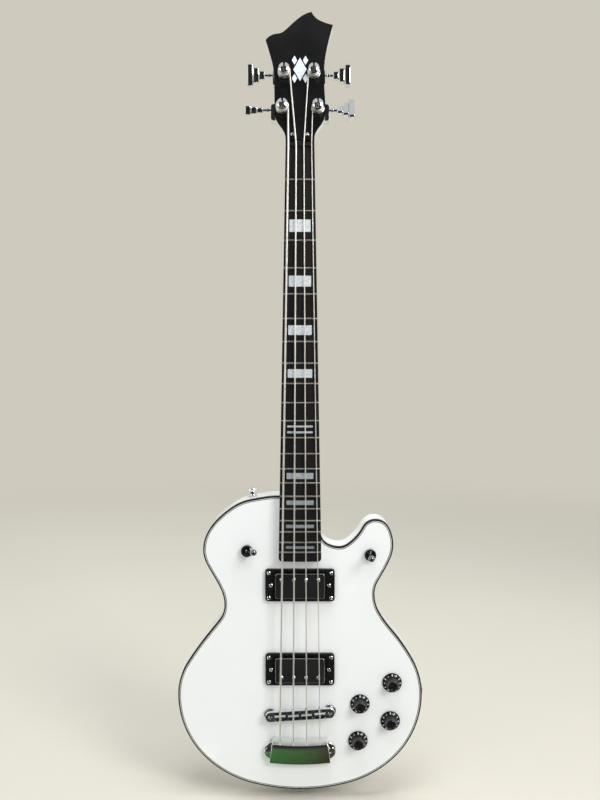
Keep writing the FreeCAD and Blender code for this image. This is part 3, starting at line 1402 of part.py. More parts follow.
def jack_socket():
    """Housing and threaded barrel with the plug's bore, and the nut outside the plate."""
    z = jack_axis_z()
    plate_outer = jack_inner_x() + JACK_PLATE_THICK
    barrel_end = plate_outer + JACK_NUT_THICK
    start = V(jack_inner_x() - JACK_HOUSING_LENGTH, RIM_Y, z)
    housing = stem(start, ACROSS, JACK_HOUSING_RADIUS, JACK_HOUSING_LENGTH)
    tail_start = start - ACROSS * JACK_TAIL
    barrel = stem(tail_start, ACROSS, JACK_BARREL_RADIUS, barrel_end - tail_start.x)
    bore = stem(tail_start, ACROSS, JACK_BORE_RADIUS, barrel_end - tail_start.x)
    ring = stem(V(plate_outer, RIM_Y, z), ACROSS, JACK_NUT_RADIUS, JACK_NUT_THICK)
    hole = stem(V(plate_outer, RIM_Y, z), ACROSS, JACK_BARREL_RADIUS, JACK_NUT_THICK)
    return [housing.fuse(barrel).cut(bore), ring.cut(hole)]


def strap_places(outline):
    """Points on the rim for the upper and end buttons, with the way that each stands out."""
    probe = line(V(STRAP_X, 0, JOIN_Z), V(STRAP_X, 0, SCALE_END_Z))
    upper = outline.distToShape(probe)[1][0][0]
    here, there = BODY_OUTLINE[0], BODY_OUTLINE[1]
    along = V(there[0] - here[0], 0, there[1] - here[1]).normalize()
    out = V(along.z, 0, -along.x)
    return [(V(upper.x, RIM_Y, upper.z), out), (V(0, RIM_Y, SCALE_END_Z + BODY_BOTTOM), -UP)]


def strap_screw(place, out):
    return stem(place, -out, STRAP_SCREW_RADIUS, STRAP_SCREW_LENGTH)


def strap_button(place, out, outline):
    """Flanged button turned about its screw, its foot fitted to the curved rim."""
    head_low = STRAP_FLANGE + STRAP_NECK
    head_high = head_low + STRAP_HEAD
    corners = [(0, 0), (STRAP_FLANGE_RADIUS, 0), (STRAP_NECK_RADIUS, STRAP_FLANGE),
               (STRAP_NECK_RADIUS, head_low), (STRAP_HEAD_RADIUS, head_low + STRAP_HEAD_CONE),
               (STRAP_HEAD_TOP_RADIUS, head_high), (0, head_high)]
    shape = spun(closed_edges([V(radius, 0, rise) for radius, rise in corners]), V(0, 0, 0), UP)
    shape.Placement = FreeCAD.Placement(place, FreeCAD.Rotation(UP, out))
    return shape.cut(prism(outline, TOP_Y, BACK_Y)).fuse(strap_screw(place, out))


def cover_screws():
    front = -OVERLAY_THICK - COVER_THICK - SCREW_HEAD
    return [on_head(screw(V(x, front, COVER_SCREW_HEIGHT), BACK)) for x in mirrored_x(COVER_SCREW_X)]


# Assembly

def export(name, shapes):
    """Writes one node, of one or more solids."""
    solids = shapes if isinstance(shapes, list) else [shapes]
    whole = solids[0] if len(solids) == 1 else Part.makeCompound(solids)
    whole.exportStep("parts/" + name + ".step")


def build_neck():
    neck_shape = neck().cut(cover_screws() + [housing_screw(name) for name in TUNERS])
    pearl = headstock_inlays()
    export("neck", neck_shape)
    export("headstock_overlay", headstock_overlay(pearl, cover_screws()))
    export("truss_rod", truss_rod())
    export("truss_rod_cover", truss_rod_cover(cover_screws()))
    marks = fret_inlays()
    wires = [fret(number) for number in range(1, FRET_COUNT + 1)]
    export("fretboard", fretboard(marks, wires))
    export("frets", wires)
    export("pearl_inlays", pearl + marks)
    export("nut", nut())
    return neck_shape


def build_strings():
    for index, name in enumerate(STRING_NAMES):
        export("string_" + name, [string(index), ball_end(index)])
        export("tuner_post_" + name, tuner_post(name))
        export("tuner_button_" + name, tuner_button(name))
    export("tuner_bushings", [tuner_bushing(name) for name in TUNERS])
    screws = [housing_screw(name) for name in TUNERS]
    export("tuner_housings", [tuner_housing(name).cut(screws) for name in TUNERS])


def build_body(neck_shape):
    outline = body_outline()
    black, white, ledge = binding(outline, neck_shape)
    straps = strap_places(outline)
    ring_set = ring_screws(NECK_PICKUP_Z) + ring_screws(BRIDGE_PICKUP_Z)
    back_set = control_screws() + [one for name in SWITCHES for one in switch_screws(name)]
    jack_set = jack_screws()
    strap_set = [strap_screw(place, out) for place, out in straps]
    wood = body(outline, neck_shape, ledge, ring_set + back_set + jack_set + strap_set)
    export("body", wood)
    export("binding_black", black)
    export("binding_white", white)
    export("strap_buttons", [strap_button(place, out, outline) for place, out in straps])
    plates = [control_plate()] + [switch_plate(name) for name in SWITCHES]
    export("back_covers", [plate.cut(back_set) for plate in plates])
    export("jack_plate", jack_plate(jack_set))
    export("jack_socket", jack_socket())
    housing_set = [housing_screw(name) for name in TUNERS]
    export("mounting_screws", ring_set + back_set + jack_set + cover_screws() + housing_set)


def build_pickups():
    rings = []
    lifts = []
    for name, z, side in (("neck", NECK_PICKUP_Z, 1), ("bridge", BRIDGE_PICKUP_Z, -1)):
        rings.append(pickup_ring(z, ring_screws(z) + height_screws(z)))
        lifts += height_screws(z)
        export(name + "_pickup_cover", pickup_cover(z, side))
        export(name + "_pickup_base", pickup_base(z))
        export(name + "_pickup_coils", pickup_coils(z, side))
        export(name + "_pole_screws", pole_screws(z, side))
    export("pickup_rings", rings)
    export("height_screws", lifts)


def build_bridge():
    screws = [saddle_screw(index) for index in range(len(STRING_NAMES))]
    export("bridge_bar", bridge_bar(screws))
    export("saddle_screws", screws)
    for index, name in enumerate(STRING_NAMES):
        export("saddle_" + name, saddle(index))
    export("bridge_posts", bridge_posts())
    export("thumbwheel_bass", thumbwheel(-1))
    export("thumbwheel_treble", thumbwheel(1))
    export("stud_bushings", stud_bushings())
    export("tailpiece", tailpiece())
    export("tailpiece_studs", tailpiece_studs())


def build_controls():
    for name in KNOBS:
        export("knob_" + name, knob(name))
    export("potentiometers", [one for name in KNOBS for one in potentiometer(name)])
    for name in SWITCHES:
        export("switch_lever_" + name, switch_lever(name))
    export("toggle_switches", [make(name) for name in SWITCHES for make in (switch_frame, switch_collar)])


os.makedirs("parts", exist_ok=True)
finished_neck = build_neck()
build_strings()
build_body(finished_neck)
build_pickups()
build_bridge()
build_controls()
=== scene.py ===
"""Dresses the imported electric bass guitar: detailed pieces, materials, studio light and camera."""

import json
from math import asin, atan2, copysign, cos, hypot, pi, radians, sin, sqrt, tan

import bmesh
import bpy
import numpy as np
from mathutils import Matrix, Vector

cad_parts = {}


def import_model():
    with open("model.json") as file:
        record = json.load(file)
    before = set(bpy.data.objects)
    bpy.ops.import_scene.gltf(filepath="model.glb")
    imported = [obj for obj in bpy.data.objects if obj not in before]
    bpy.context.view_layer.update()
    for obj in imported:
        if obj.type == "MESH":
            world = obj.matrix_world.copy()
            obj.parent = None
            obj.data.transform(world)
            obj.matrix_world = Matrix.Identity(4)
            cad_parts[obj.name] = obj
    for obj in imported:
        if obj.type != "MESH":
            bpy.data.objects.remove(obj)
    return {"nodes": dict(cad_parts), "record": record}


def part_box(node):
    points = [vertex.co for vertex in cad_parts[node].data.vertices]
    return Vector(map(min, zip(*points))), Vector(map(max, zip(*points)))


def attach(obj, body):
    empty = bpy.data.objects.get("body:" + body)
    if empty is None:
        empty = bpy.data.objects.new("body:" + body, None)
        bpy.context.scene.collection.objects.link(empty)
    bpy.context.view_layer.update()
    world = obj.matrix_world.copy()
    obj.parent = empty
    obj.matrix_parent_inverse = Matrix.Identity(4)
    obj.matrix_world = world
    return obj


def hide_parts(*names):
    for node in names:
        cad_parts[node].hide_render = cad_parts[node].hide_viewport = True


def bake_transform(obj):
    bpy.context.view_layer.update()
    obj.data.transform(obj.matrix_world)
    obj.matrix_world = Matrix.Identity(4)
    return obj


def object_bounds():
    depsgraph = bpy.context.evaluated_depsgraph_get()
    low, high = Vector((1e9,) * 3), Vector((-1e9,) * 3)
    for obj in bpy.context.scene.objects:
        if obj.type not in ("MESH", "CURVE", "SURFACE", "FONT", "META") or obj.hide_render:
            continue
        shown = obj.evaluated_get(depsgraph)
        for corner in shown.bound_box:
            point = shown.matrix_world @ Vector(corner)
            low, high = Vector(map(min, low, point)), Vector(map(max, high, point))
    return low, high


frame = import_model()
cad_low, cad_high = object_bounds()

RECORD = frame["record"]
BODY_OF = {node: body for body, nodes in RECORD["behaviour"]["bodies"].items() for node in nodes}
SLOT_OF = {row["node"]: row["material_slot"] for row in RECORD["subparts"]}

# Lengths of the pieces are in millimetres, and make() brings them to metres
MM = 0.001

# Meshing
FILLET_SHARE = 0.45
LEAST_MITRE = 0.5
FLAT_SHARE = 1.25
ROUND_STEPS = 4
ON_AXIS = 1e-4
EDGE_ANGLE = 32
CAP_ANGLE = 28
TURNED_ANGLE = 60

# Reading the CAD meshes, in metres
WELD = 1e-6
END_SLICE = 1e-5

# Strings and scale
TOP_Y = 5
NUT_Z = -30
NUT_LENGTH = 5
SCALE_END_Z = -811
STRING_NAMES = ("e", "a", "d", "g")
STRING_RADII = {"e": 1.3, "a": 1.05, "d": 0.8, "g": 0.6}
STRING_SIDES = 14
NUT_SPACING = 10.3
BRIDGE_SPACING = 18.4
BOARD_RADIUS = 381
NUT_STRING_RISE = 7.7
BRIDGE_STRING_RISE = 15.7
BEND_RUN = 2
BEND_PULL = 0.6
SADDLE_REST = 4.5
KNEE_RUN = 1
WINDING_TURNS = 2
STEPS_PER_TURN = 32
WINDING_GAP = 0.6
WINDING_CLEARANCE = 0.1
WINDING_APPROACH = 8
WRAP_PITCH = 0.42
BALL_RADIUS = 2.8
BALL_SIDE = (2.52, -2.75), (2.8, -2.2), (2.8, 2.2), (2.52, 2.75)
BALL_Y = -5.4
BALL_Z = -860

# Neck and headstock
HEAD_Z = NUT_Z + NUT_LENGTH
HEAD_TILT = radians(12)
HEAD = Matrix.Translation((0, 0, HEAD_Z)) @ Matrix.Rotation(-HEAD_TILT, 4, "X")
FACE_Y = -1.5
HEAD_BACK = 13.5
NECK_HALF_WIDTH = 19.25
NECK_FLARE = 0.0182
NECK_SIDE = 1.5
NECK_DEPTH = 15.5
BLEND_LENGTH = 42
BLEND_STEPS = 24
BLEND_SIDES = 32
BLEND_FRONT = 0.5
BLEND_PROUD = 0.02
COVER_SIDE = (15, 3), (15, 13), (7, 14), (7, 23)
COVER_TIP = (7, 23), (7, 29), (4, 34), (0, 34)
COVER_THICK = 2
COVER_BEVEL = 0.8
COVER_FOOT_ROUND = 0.05

# Tuners
TUNERS = {"e": (-23.7, 49), "a": (-21.4, 99.7), "d": (18.6, 99.4), "g": (23.8, 48.6)}
BUTTON_REST_TURN = {"e": 117, "a": 18, "d": 4, "g": -15}
WASHER = (4.6, -3.7), (8.9, -3.7), (8.9, -1.5), (6.2, -1.5), (6.2, 8), (4.6, 8)
WASHER_ROUND = 0.8
POST_RADIUS = 6.2
POST_FOOT = -4
POST_SIDE = ((0, 22.5), (5.45, 22.5), (5.45, 17.5), (4.5, 17.5), (4.5, -4), (5.952, -4), (6.2, -4.3),
             (6.2, -14.4), (6.984, -15.7), (7.2, -16.1))
POST_DOME = (7.2, -16.6), (5.184, -17.702), (0, -18.5)
POST_SLOT = (3, 21.6)
POST_SLOT_FRONT = -20.5
POST_SLOT_BACK = -15.5
POST_SLOT_ROUNDS = (0.3, 0.2, 0.4)
HOUSING_DEPTH = 13
HOUSING_SIZE = (28, 24)
HOUSING_SHIFT = 2
HOUSING_CORNER = 4
HOUSING_ROUND = 2.2
HOUSING_FOOT_ROUND = 0.2
LUG_SIZE = (8, 12)
LUG_CORNER = 2.5
LUG_DROP = 11
LUG_THICK = 3
LUG_ROUND = 0.8
WORM_Y = 20
WORM_RISE = 8
WORM = (0, -11), (2.2, -11), (2.2, 19), (3.3, 19.4), (3.3, 21.6), (2.2, 22), (2.2, 28), (0, 28)
BUTTON_START = 27
BUTTON_TIERS = ((8, 12.5, 8), (8, 21, 10.5), (8, 30, 13))
BUTTON_CORNER = 3
BUTTON_ROUND = 1.3

# Pickups
RING_SIZE = (96.4, 45.4)
RING_RISE = 5.3
RING_CORNER = 5
RING_ROUND = 1.4
WINDOW_SIZE = (70.4, 36.6)
PICKUP_SIZE = (69.2, 35.4)
PICKUP_CORNER = 3.5
PICKUP_WALL = 0.8
PICKUP_ROUND = 2

# Bridge and tailpiece
BRIDGE_Z = -808.5
BRIDGE_SLANT = radians(3.9)
BRIDGE = Matrix.Translation((0, 0, BRIDGE_Z)) @ Matrix.Rotation(-BRIDGE_SLANT, 4, "Y")
BAR_LENGTH = 97.2
BAR_WIDTH = 13.8
BAR_FRONT = -7.5
BAR_BACK = 1.5
BAR_FRONT_ROUND = 0.9
BAR_BACK_ROUND = 0.6
BAR_END_STEPS = 8
BAR_SIDE_STEPS = 16
BAR_SLOT_HALF = (35.7, 5.2)
BAR_SLOT_DEPTH = 7
BAR_LIP_DEPTH = 0.4
BAR_LIP_SHARE = 0.12
SADDLE_WIDTH = 15
SADDLE_HALF_LENGTH = 2.3
SADDLE_CREST_HALF = 0.4
SADDLE_SEAT = -0.8
SADDLE_CORNER = 0.45
SADDLE_ROUND = 0.5
STRING_GAP = 0.06
POST_X = 41.5
BRIDGE_POST_RADIUS = 2.5
POST_PLAY = 0.3
BORE_PAST = 1
THUMBWHEEL_RADIUS = 9
THUMBWHEEL_TEETH = 44
THUMBWHEEL_TOOTH = 0.45
THUMBWHEEL_PLAY = 0.1
THUMBWHEEL_ROUND = 0.25
TOOTH_STEPS = ((0, 1), (0.3, 0), (0.6, 0), (0.9, 1))
TAIL_Z = -846
TAIL_BOW_RADIUS = 321
TAIL_HALF_WIDTH = 38.6
TAIL_STEPS = 24
TAIL_FRONT = ((0, 0.7), (5, 14.5))
TAIL_CROWN = ((7.5, 16), (24, 13.5), (37, 6))
TAIL_HEEL = (37, 0.7)
TAIL_ROUND = 0.9
EAR_X = 38.3
EAR_DROP = 16.5
EAR_RADIUS = 12.3
EAR_FRONT = 0
EAR_BACK = 4.3
EAR_ROUND = 1.4
EAR_BACK_ROUND = 0.4
STUD_X = 44.2
STUD_HEAD_RADIUS = 5.2
STUD_HEAD = 3
STUD_RADIUS = 4
STUD_BACK = 22
STUD_TURN = radians(70)
BRIDGE_POST_HEAD = 4
BRIDGE_POST_PROUD = 0.3
BRIDGE_POST_SHANK = 2.425
BRIDGE_POST_TURN = radians(40)

# Controls
KNOBS = {"neck_volume": (128.8, 45.1), "neck_tone": (84, 14.6),
         "bridge_volume": (126.6, -9.6), "bridge_tone": (81.5, -38.3)}
KNOB_INSIDE = (0, 13.5), (3, 13.5), (3, 5.6), (7, 5.6), (7, 1)
KNOB_EDGE = (13.3, 1), (13.6, 1.3), (13.6, 2)
KNOB_FLANK = (13.6, 2.3), (9.3, 5.2), (7.5, 8.8)
KNOB_CROWN = (6.9, 15.6), (6.48, 16.416), (5.7, 16.8)
KNOB_DISH = (4.86, 16.8), (4.38, 16.45), (2.415, 16.66), (0, 16.73)
TOP_NUMBER = 10
NUMBER_RADIUS = 11.5
NUMBER_SIZE = 3.1
NUMBER_BOLD = 0.14
NUMBER_STEP = radians(30)
NUMBER_LIFT = 0.03
NUMBER_THICK = 0.05
SWITCHES = {"rhythm": (-73.4, 232.7, 25, -14), "tone": (97.2, 227, 0, 90)}
PIVOT_RISE = 1.5
COLLAR = (3.9, 0), (8.1, 0), (8.1, -7.1), (5.1, -7.1), (3.9, -3.55)
COLLAR_ROUND = 1.1
LEVER_BALL = (0, 3.4), (3.4, 0), (1.9, -2.822)
LEVER_STEM = (1.9, -15), (0, -15)
TIP_SIDE = (0, -14), (3, -14), (4.6, -24.9)
TIP_ROUND = 0.7
TIP_DOME = (4.6, -24.9), (3.312, -28.0924), (0, -29.5)
JACK_HOLE = 4.8
JACK_PLATE_CORNER = 4
JACK_PLATE_ROUND = 0.4
JACK_NUT_INRADIUS = 7.1
JACK_NUT_THICK = 2.3
JACK_NUT_ROUND = 0.5
JACK_NUT_STEPS = 48

# Strap buttons
STRAP = ((0, 34), (2.2, 30), (2.2, 15), (6.8, 15), (6.8, 13), (6.2, 12.2), (4.8, 11.2), (4.2, 9.8),
         (4.2, 5.2), (4.8, 3.8), (6.6, 2.6), (7, 1.9), (6.8, 1.1), (6, 0.5), (5.2, 0.1), (4, -0.1), (3, -0.1),
         (2.9, 0.2), (2.75, 0.2), (2.7, -0.2), (2.4, -0.42), (2, -0.55), (1.7, -0.62), (1.4, -0.68),
         (1.1, -0.72), (0.8, -0.76), (0.5, -0.78), (0, -0.8))
STRAP_SCREW_RADIUS = 2.5
STRAP_RECESS = (2.6, 1.1)

# Screws: the groups give piece, node, head radius, head depth, shank radius and recess
SCREW_GROUPS = (
    ("mounting_screws_recessed", "mounting_screws", 2.6, 1.2, 1.4, "cross"),
    ("height_screws_recessed", "height_screws", 2.6, 1.2, 1.4, "cross"),
    ("neck_pole_screws_slotted", "neck_pole_screws", 2.4, 2, 2.2, "slot"),
    ("bridge_pole_screws_slotted", "bridge_pole_screws", 2.4, 2, 2.2, "slot"),
    ("saddle_adjusters", "saddle_screws", 2.4, 1.5, 1.2, "slot"),
)
SCREW_TURN = 2.4
SCREW_DOME = 0.9
SCREW_TIP = 0.4
SCREW_TAPER = 3
HEAD_RIM = ((0.96, 1), (1, 0.7), (1, 0.15))
HEAD_RINGS = (0.98, 0.9, 0.8, 0.72, 0.66, 0.6, 0.52, 0.44, 0.36, 0.28, 0.22, 0.16, 0.08, 0)
RECESS_DEPTH = 0.45
CROSS_ARM = 0.17
CROSS_REACH = 0.62
CROSS_EDGE = 0.03
CROSS_SLOPE = 0.1
SLOT_ARM = 0.17
SLOT_SLOPE = 0.08

# Finish, in metres
NOISE_RANGE = (0.3, 0.7)
PATCH_RANGE = (0.35, 0.65)
HARD_GLOSS = 2.8
# Heights of the pearl's painted shade: darkest at the low one, full brightness at the high one
PEARL_SHADE_LOW_Z = -0.58
PEARL_SHADE_HIGH_Z = -0.1
WAVE_UNIT = 20

# Camera, stage and light, in metres
CAMERA_PLACE = (0, -1.177, -0.290)
CAMERA_PITCH = radians(90 - 3.85)
CAMERA_LENS = 38.9
CAMERA_NEAR = 0.01
FLOOR_CLEAR = 1.1
FLOOR_RADIUS = 3
CARD_WIDTH = 2.4
NEAR_CARD_WIDTH = 0.13
NEAR_CARD_START = 0.06
NEAR_CARD_TURN = 0.05
FAR_CARD_START = -0.16
CARD_REACH = 3
CARD_TOP = 3.2
CARD_GAP = 0.002
STRAW = (0.62, 0.59, 0.51)
STRAW_LIFT = 1.04
SKY = (0.6, 0.62, 0.63)
SKY_PLACES = (0.4, 0.75)
WORLD_TINT = (0.96, 0.98, 1, 1)
WORLD_LIGHT = 0.5
LAMP_TARGET = Vector((0, 0, -0.45))

# Lamps: name, place, size, power, colour, and whether polished metal mirrors the lamp
LAMPS = (
    ("key", (1.5, -1.7, 0.9), (1, 1.2), 42, (1, 0.995, 0.985), True),
    ("fill", (-1.9, -1.5, 0.1), (1.2, 1.6), 6.5, (0.88, 0.945, 1), True),
    ("top", (0.15, -0.4, 1.25), (1.4, 0.7), 24, (0.94, 0.975, 1), False),
    ("back", (-1.2, 2, 1.3), (1.4, 1.4), 28, (0.97, 0.985, 1), False),
)


# Outlines and profiles

def fillet(points, radius, steps=4, closed=True):
    """Rounds the corners of a flat line of points."""
    made = []
    last = len(points) - 1
    for place, point in enumerate(points):
        corner = Vector(point)
        if not closed and place in (0, last):
            made.append(corner)
            continue
        back = Vector(points[place - 1]) - corner
        ahead = Vector(points[(place + 1) % len(points)]) - corner
        most = FILLET_SHARE * min(back.length, ahead.length)
        cut = min(radius / tan(back.angle(ahead) / 2), most)
        start = corner + back.normalized() * cut
        end = corner + ahead.normalized() * cut
        for step in range(steps + 1):
            t = step / steps
            made.append(start * (1 - t) ** 2 + corner * (2 * t * (1 - t)) + end * t ** 2)
    return made


def rounded_rect(width, height, corner, steps=6):
    x, z = width / 2, height / 2
    return fillet([(-x, -z), (x, -z), (x, z), (-x, z)], corner, steps)


def polar(radius, turn):
    return Vector((cos(turn), sin(turn))) * radius


def circle(radius, count):
    return [polar(radius, 2 * pi * step / count) for step in range(count)]


def inset(outline, distance):
    """Moves each point of a closed counter-clockwise outline inwards."""
    made = []
    for place, point in enumerate(outline):
        back = (point - outline[place - 1]).normalized()
        ahead = (outline[(place + 1) % len(outline)] - point).normalized()
        normal = Vector((-back.y - ahead.y, back.x + ahead.x)).normalized()
        made.append(point + normal * (distance / max(LEAST_MITRE, normal.dot(Vector((-ahead.y, ahead.x))))))
    return made


def arc_centre(a, b, c):
    """Centre of the circle through three points."""
    (ax, ay), (bx, by), (cx, cy) = a, b, c
    a_square, b_square, c_square = ax ** 2 + ay ** 2, bx ** 2 + by ** 2, cx ** 2 + cy ** 2
    d = 2 * (ax * (by - cy) + bx * (cy - ay) + cx * (ay - by))
    x = (a_square * (by - cy) + b_square * (cy - ay) + c_square * (ay - by)) / d
    y = (a_square * (cx - bx) + b_square * (ax - cx) + c_square * (bx - ax)) / d
    return Vector((x, y))


def arc(a, b, c, steps=10):
    """Points from a to c on the arc through b."""
    centre = arc_centre(a, b, c)
    start, middle, end = (Vector(point) - centre for point in (a, b, c))
    sweep = start.angle_signed(middle) + middle.angle_signed(end)
    return [centre + Matrix.Rotation(-sweep * step / steps, 2) @ start for step in range(steps + 1)]


def bezier(start, leave, arrive, end, steps=10):
    """Points on a cubic curve."""
    points = [Vector(point) for point in (start, leave, arrive, end)]
    made = []
    for step in range(steps + 1):
        t = step / steps
        weights = ((1 - t) ** 3, 3 * t * (1 - t) ** 2, 3 * t * t * (1 - t), t ** 3)
        made.append(sum((point * weight for point, weight in zip(points, weights)), points[0] * 0))
    return made


# Solids in bmesh

def pairs(rows, looped):
    """Neighbouring rows, with the last and the first too if they are looped."""
    return zip(rows, rows[1:] + rows[:looped])


def skin(bm, rings, matrix=Matrix.Identity(4), looped=False):
    """Joins rings of points to a closed shell. A looped one has no end caps."""
    rows = [[bm.verts.new(matrix @ Vector(point)) for point in ring] for ring in rings]
    for low, high in pairs(rows, looped):
        for place in range(len(low)):
            nxt = (place + 1) % len(low)
            bm.faces.new((low[place], low[nxt], high[nxt], high[place]))
    if not looped:
        bm.faces.new(rows[0])
        bm.faces.new(rows[-1])


def at_depth(outline, y):
    return [(x, y, z) for x, z in outline]


def rounded_rim(outline, face, into, radius):
    """Rings of a rounded edge, from the side of a plate to its face. into points away from the face.

    One more ring on the face itself keeps the rounding out of the flat part's shading.
    """
    rings = []
    for step in range(ROUND_STEPS + 1):
        turn = pi / 2 * step / ROUND_STEPS
        depth = face + into * radius * (1 - sin(turn))
        rings.append(at_depth(inset(outline, radius * (1 - cos(turn))), depth))
    rings.append(at_depth(inset(outline, radius * FLAT_SHARE), face))
    return rings


def plate(bm, outline, front, back, front_round, back_round, matrix):
    """Plate between two depths with rounded edges on both faces."""
    rings = rounded_rim(outline, back, -1, back_round)[::-1] + rounded_rim(outline, front, 1, front_round)
    skin(bm, rings, matrix)


def ring_plate(bm, outer, inner, front, back, radius, matrix):
    """Plate with a hole, its front edges rounded. Both outlines have as many points."""
    rings = [at_depth(outer, back)] + rounded_rim(outer, front, 1, radius)
    for turn in (0, pi / 4, pi / 2):
        mouth = inset(inner, -radius / 2 * (1 - sin(turn)))
        rings.append(at_depth(mouth, front + radius / 2 * (1 - cos(turn))))
    rings.append(at_depth(inner, back))
    skin(bm, rings, matrix, looped=True)


def turned(bm, profile, matrix, count, shape=None, looped=False):
    """Turns a profile of radius and depth about the depth axis. shape may move the points."""
    rows = []
    for radius, depth in profile:
        if radius < ON_AXIS:
            points = [Vector((0, depth, 0))]
        else:
            points = [Vector((x, depth, z)) for x, z in circle(radius, count)]
        rows.append([bm.verts.new(matrix @ (shape(point) if shape else point)) for point in points])
    for low, high in pairs(rows, looped):
        for place in range(count):
            nxt = (place + 1) % count
            around = ((low, place), (low, nxt), (high, nxt), (high, place))
            bm.faces.new(list(dict.fromkeys(row[spot % len(row)] for row, spot in around)))


def tube(bm, path, radius):
    """Round tube along points, with its length as the second UV."""
    uv = bm.loops.layers.uv.new("along")
    ways = [(b - a).normalized() for a, b in zip(path, path[1:])]
    ways.append(ways[-1])
    side = ways[0].orthogonal().normalized()
    rows = []
    lengths = [0.0]
    for place, point in enumerate(path):
        if place:
            lengths.append(lengths[-1] + (point - path[place - 1]).length)
            side = ways[place - 1].rotation_difference(ways[place]) @ side
        way = (ways[max(place - 1, 0)] + ways[place]).normalized()
        side = (side - way * side.dot(way)).normalized()
        up = way.cross(side)
        rows.append([bm.verts.new(point + side * x + up * y) for x, y in circle(radius, STRING_SIDES)])
    for row in range(len(rows) - 1):
        for place in range(STRING_SIDES):
            nxt = (place + 1) % STRING_SIDES
            face = bm.faces.new((rows[row][place], rows[row][nxt], rows[row + 1][nxt], rows[row + 1][place]))
            turns = (place, place + 1, place + 1, place)
            for loop, turn, along in zip(face.loops, turns, (row, row, row + 1, row + 1)):
                loop[uv].uv = (turn / STRING_SIDES, lengths[along])
    bm.faces.new(rows[0])
    bm.faces.new(rows[-1])


def add(name, data):
    """Object in the scene that holds the data."""
    made = bpy.data.objects.new(name, data)
    bpy.context.scene.collection.objects.link(made)
    return made


def make(name, bm, body, slot, nodes=(), sharp=EDGE_ANGLE, look=None):
    """Turns a bmesh into a piece that rides on a body and may stand for CAD nodes."""
    bmesh.ops.scale(bm, vec=(MM, MM, MM), verts=bm.verts[:])
    bmesh.ops.recalc_face_normals(bm, faces=bm.faces[:])
    mesh = bpy.data.meshes.new(name)
    bm.to_mesh(mesh)
    bm.free()
    mesh.shade_smooth()
    mesh.set_sharp_from_angle(angle=radians(sharp))
    mesh.materials.append(look or LOOKS[slot])
    piece = add(name, mesh)
    if body:
        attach(piece, body)
    if nodes:
        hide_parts(*nodes)
    return piece


def stand_in(name, bm, node, sharp=EDGE_ANGLE):
    """Piece that takes a node's place, body and finish."""
    make(name, bm, BODY_OF[node], SLOT_OF[node], (node,), sharp)


def carve(bm, cutter):
    """Cuts one closed mesh out of another."""
    objects = []
    for part in (bm, cutter):
        bmesh.ops.recalc_face_normals(part, faces=part.faces[:])
        mesh = bpy.data.meshes.new("carving")
        part.to_mesh(mesh)
        part.free()
        objects.append(add("carving", mesh))
    modifier = objects[0].modifiers.new("cut", "BOOLEAN")
    modifier.object = objects[1]
    modifier.solver = "MANIFOLD"
    made = bmesh.new()
    made.from_object(objects[0], bpy.context.evaluated_depsgraph_get())
    for part in objects:
        bpy.data.meshes.remove(part.data)
    return made


def at(x, y, z):
    return Matrix.Translation((x, y, z))


def spin(turn, axis):
    return Matrix.Rotation(turn, 4, axis)


def box(node):
    """Low and high corners of a CAD node's box."""
    return [Vector(corner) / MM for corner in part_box(node)]


def facing(place, out):
    """Frame at a place whose front looks along out."""
    turn = Vector((0, -1, 0)).rotation_difference(Vector(out)).to_matrix().to_4x4()
    return at(*place) @ turn


def islands(node):
    """Point clouds of the separate solids of a CAD node."""
    bm = bmesh.new()
    bm.from_mesh(frame["nodes"][node].data)
    bmesh.ops.remove_doubles(bm, verts=bm.verts[:], dist=WELD)
    seen = set()
    clouds = []
    for first in bm.verts:
        if first in seen:
            continue
        group = [first]
        seen.add(first)
        for vert in group:
            for edge in vert.link_edges:
                other = edge.other_vert(vert)
                if other not in seen:
                    seen.add(other)
                    group.append(other)
        clouds.append(np.array([vert.co[:] for vert in group]))
    bm.free()
    return clouds


def screw_frames(node):
    """Frame on the outer end of each screw-like solid of a node, with the solid's length."""
    frames = []
    for cloud in islands(node):
        middle = (cloud.min(0) + cloud.max(0)) / 2
        axis = np.linalg.eigh(np.cov((cloud - middle).T))[1][:, 2]
        along = (cloud - middle) @ axis
        reach = np.linalg.norm(cloud - middle - np.outer(along, axis), axis=1)
        far = reach[along > along.max() - END_SLICE].max()
        near = reach[along < along.min() + END_SLICE].max()
        if near > far or (abs(near - far) < WELD and axis[1] > 0):
            axis, along = -axis, -along
        top = middle + axis * along.max()
        frames.append((facing(top / MM, axis), (along.max() - along.min()) / MM))
    return frames


def cross_share(u, v):
    """How far a cross-shaped recess has reached its depth, at a place in shares of the head's radius."""
    arm = min(max(u - CROSS_ARM, v - CROSS_REACH), max(v - CROSS_ARM, u - CROSS_REACH))
    return (CROSS_EDGE - arm) / CROSS_SLOPE


def slot_share(u, v):
    """The same for a straight slot, which runs along v."""
    return (SLOT_ARM - u) / SLOT_SLOPE


RECESSES = {"cross": cross_share, "slot": slot_share}


def sunk(point, recess, radius, depth):
    """Moves a point of a screw's top down into its recess."""
    share = RECESSES[recess](abs(point.x) / radius, abs(point.z) / radius)
    return point + Vector((0, depth * min(1.0, max(0.0, share)), 0))


def screw(bm, matrix, length, radius, head, shank, recess, turn, count=40):
    """Screw with a domed and recessed head whose rim starts at the frame's own face."""
    profile = [(0, length), (shank * SCREW_TIP, length - shank), (shank, length - SCREW_TAPER * shank),
               (shank, head)]
    profile += [(radius * wide, head * deep) for wide, deep in HEAD_RIM]
    profile += [(radius * share, -SCREW_DOME * (1 - share ** 2)) for share in HEAD_RINGS]

    def shape(point):
        return point if point.y > 0 else sunk(point, recess, radius, radius * RECESS_DEPTH)

    turned(bm, profile, matrix @ spin(turn, "Y"), count, shape)


# Materials

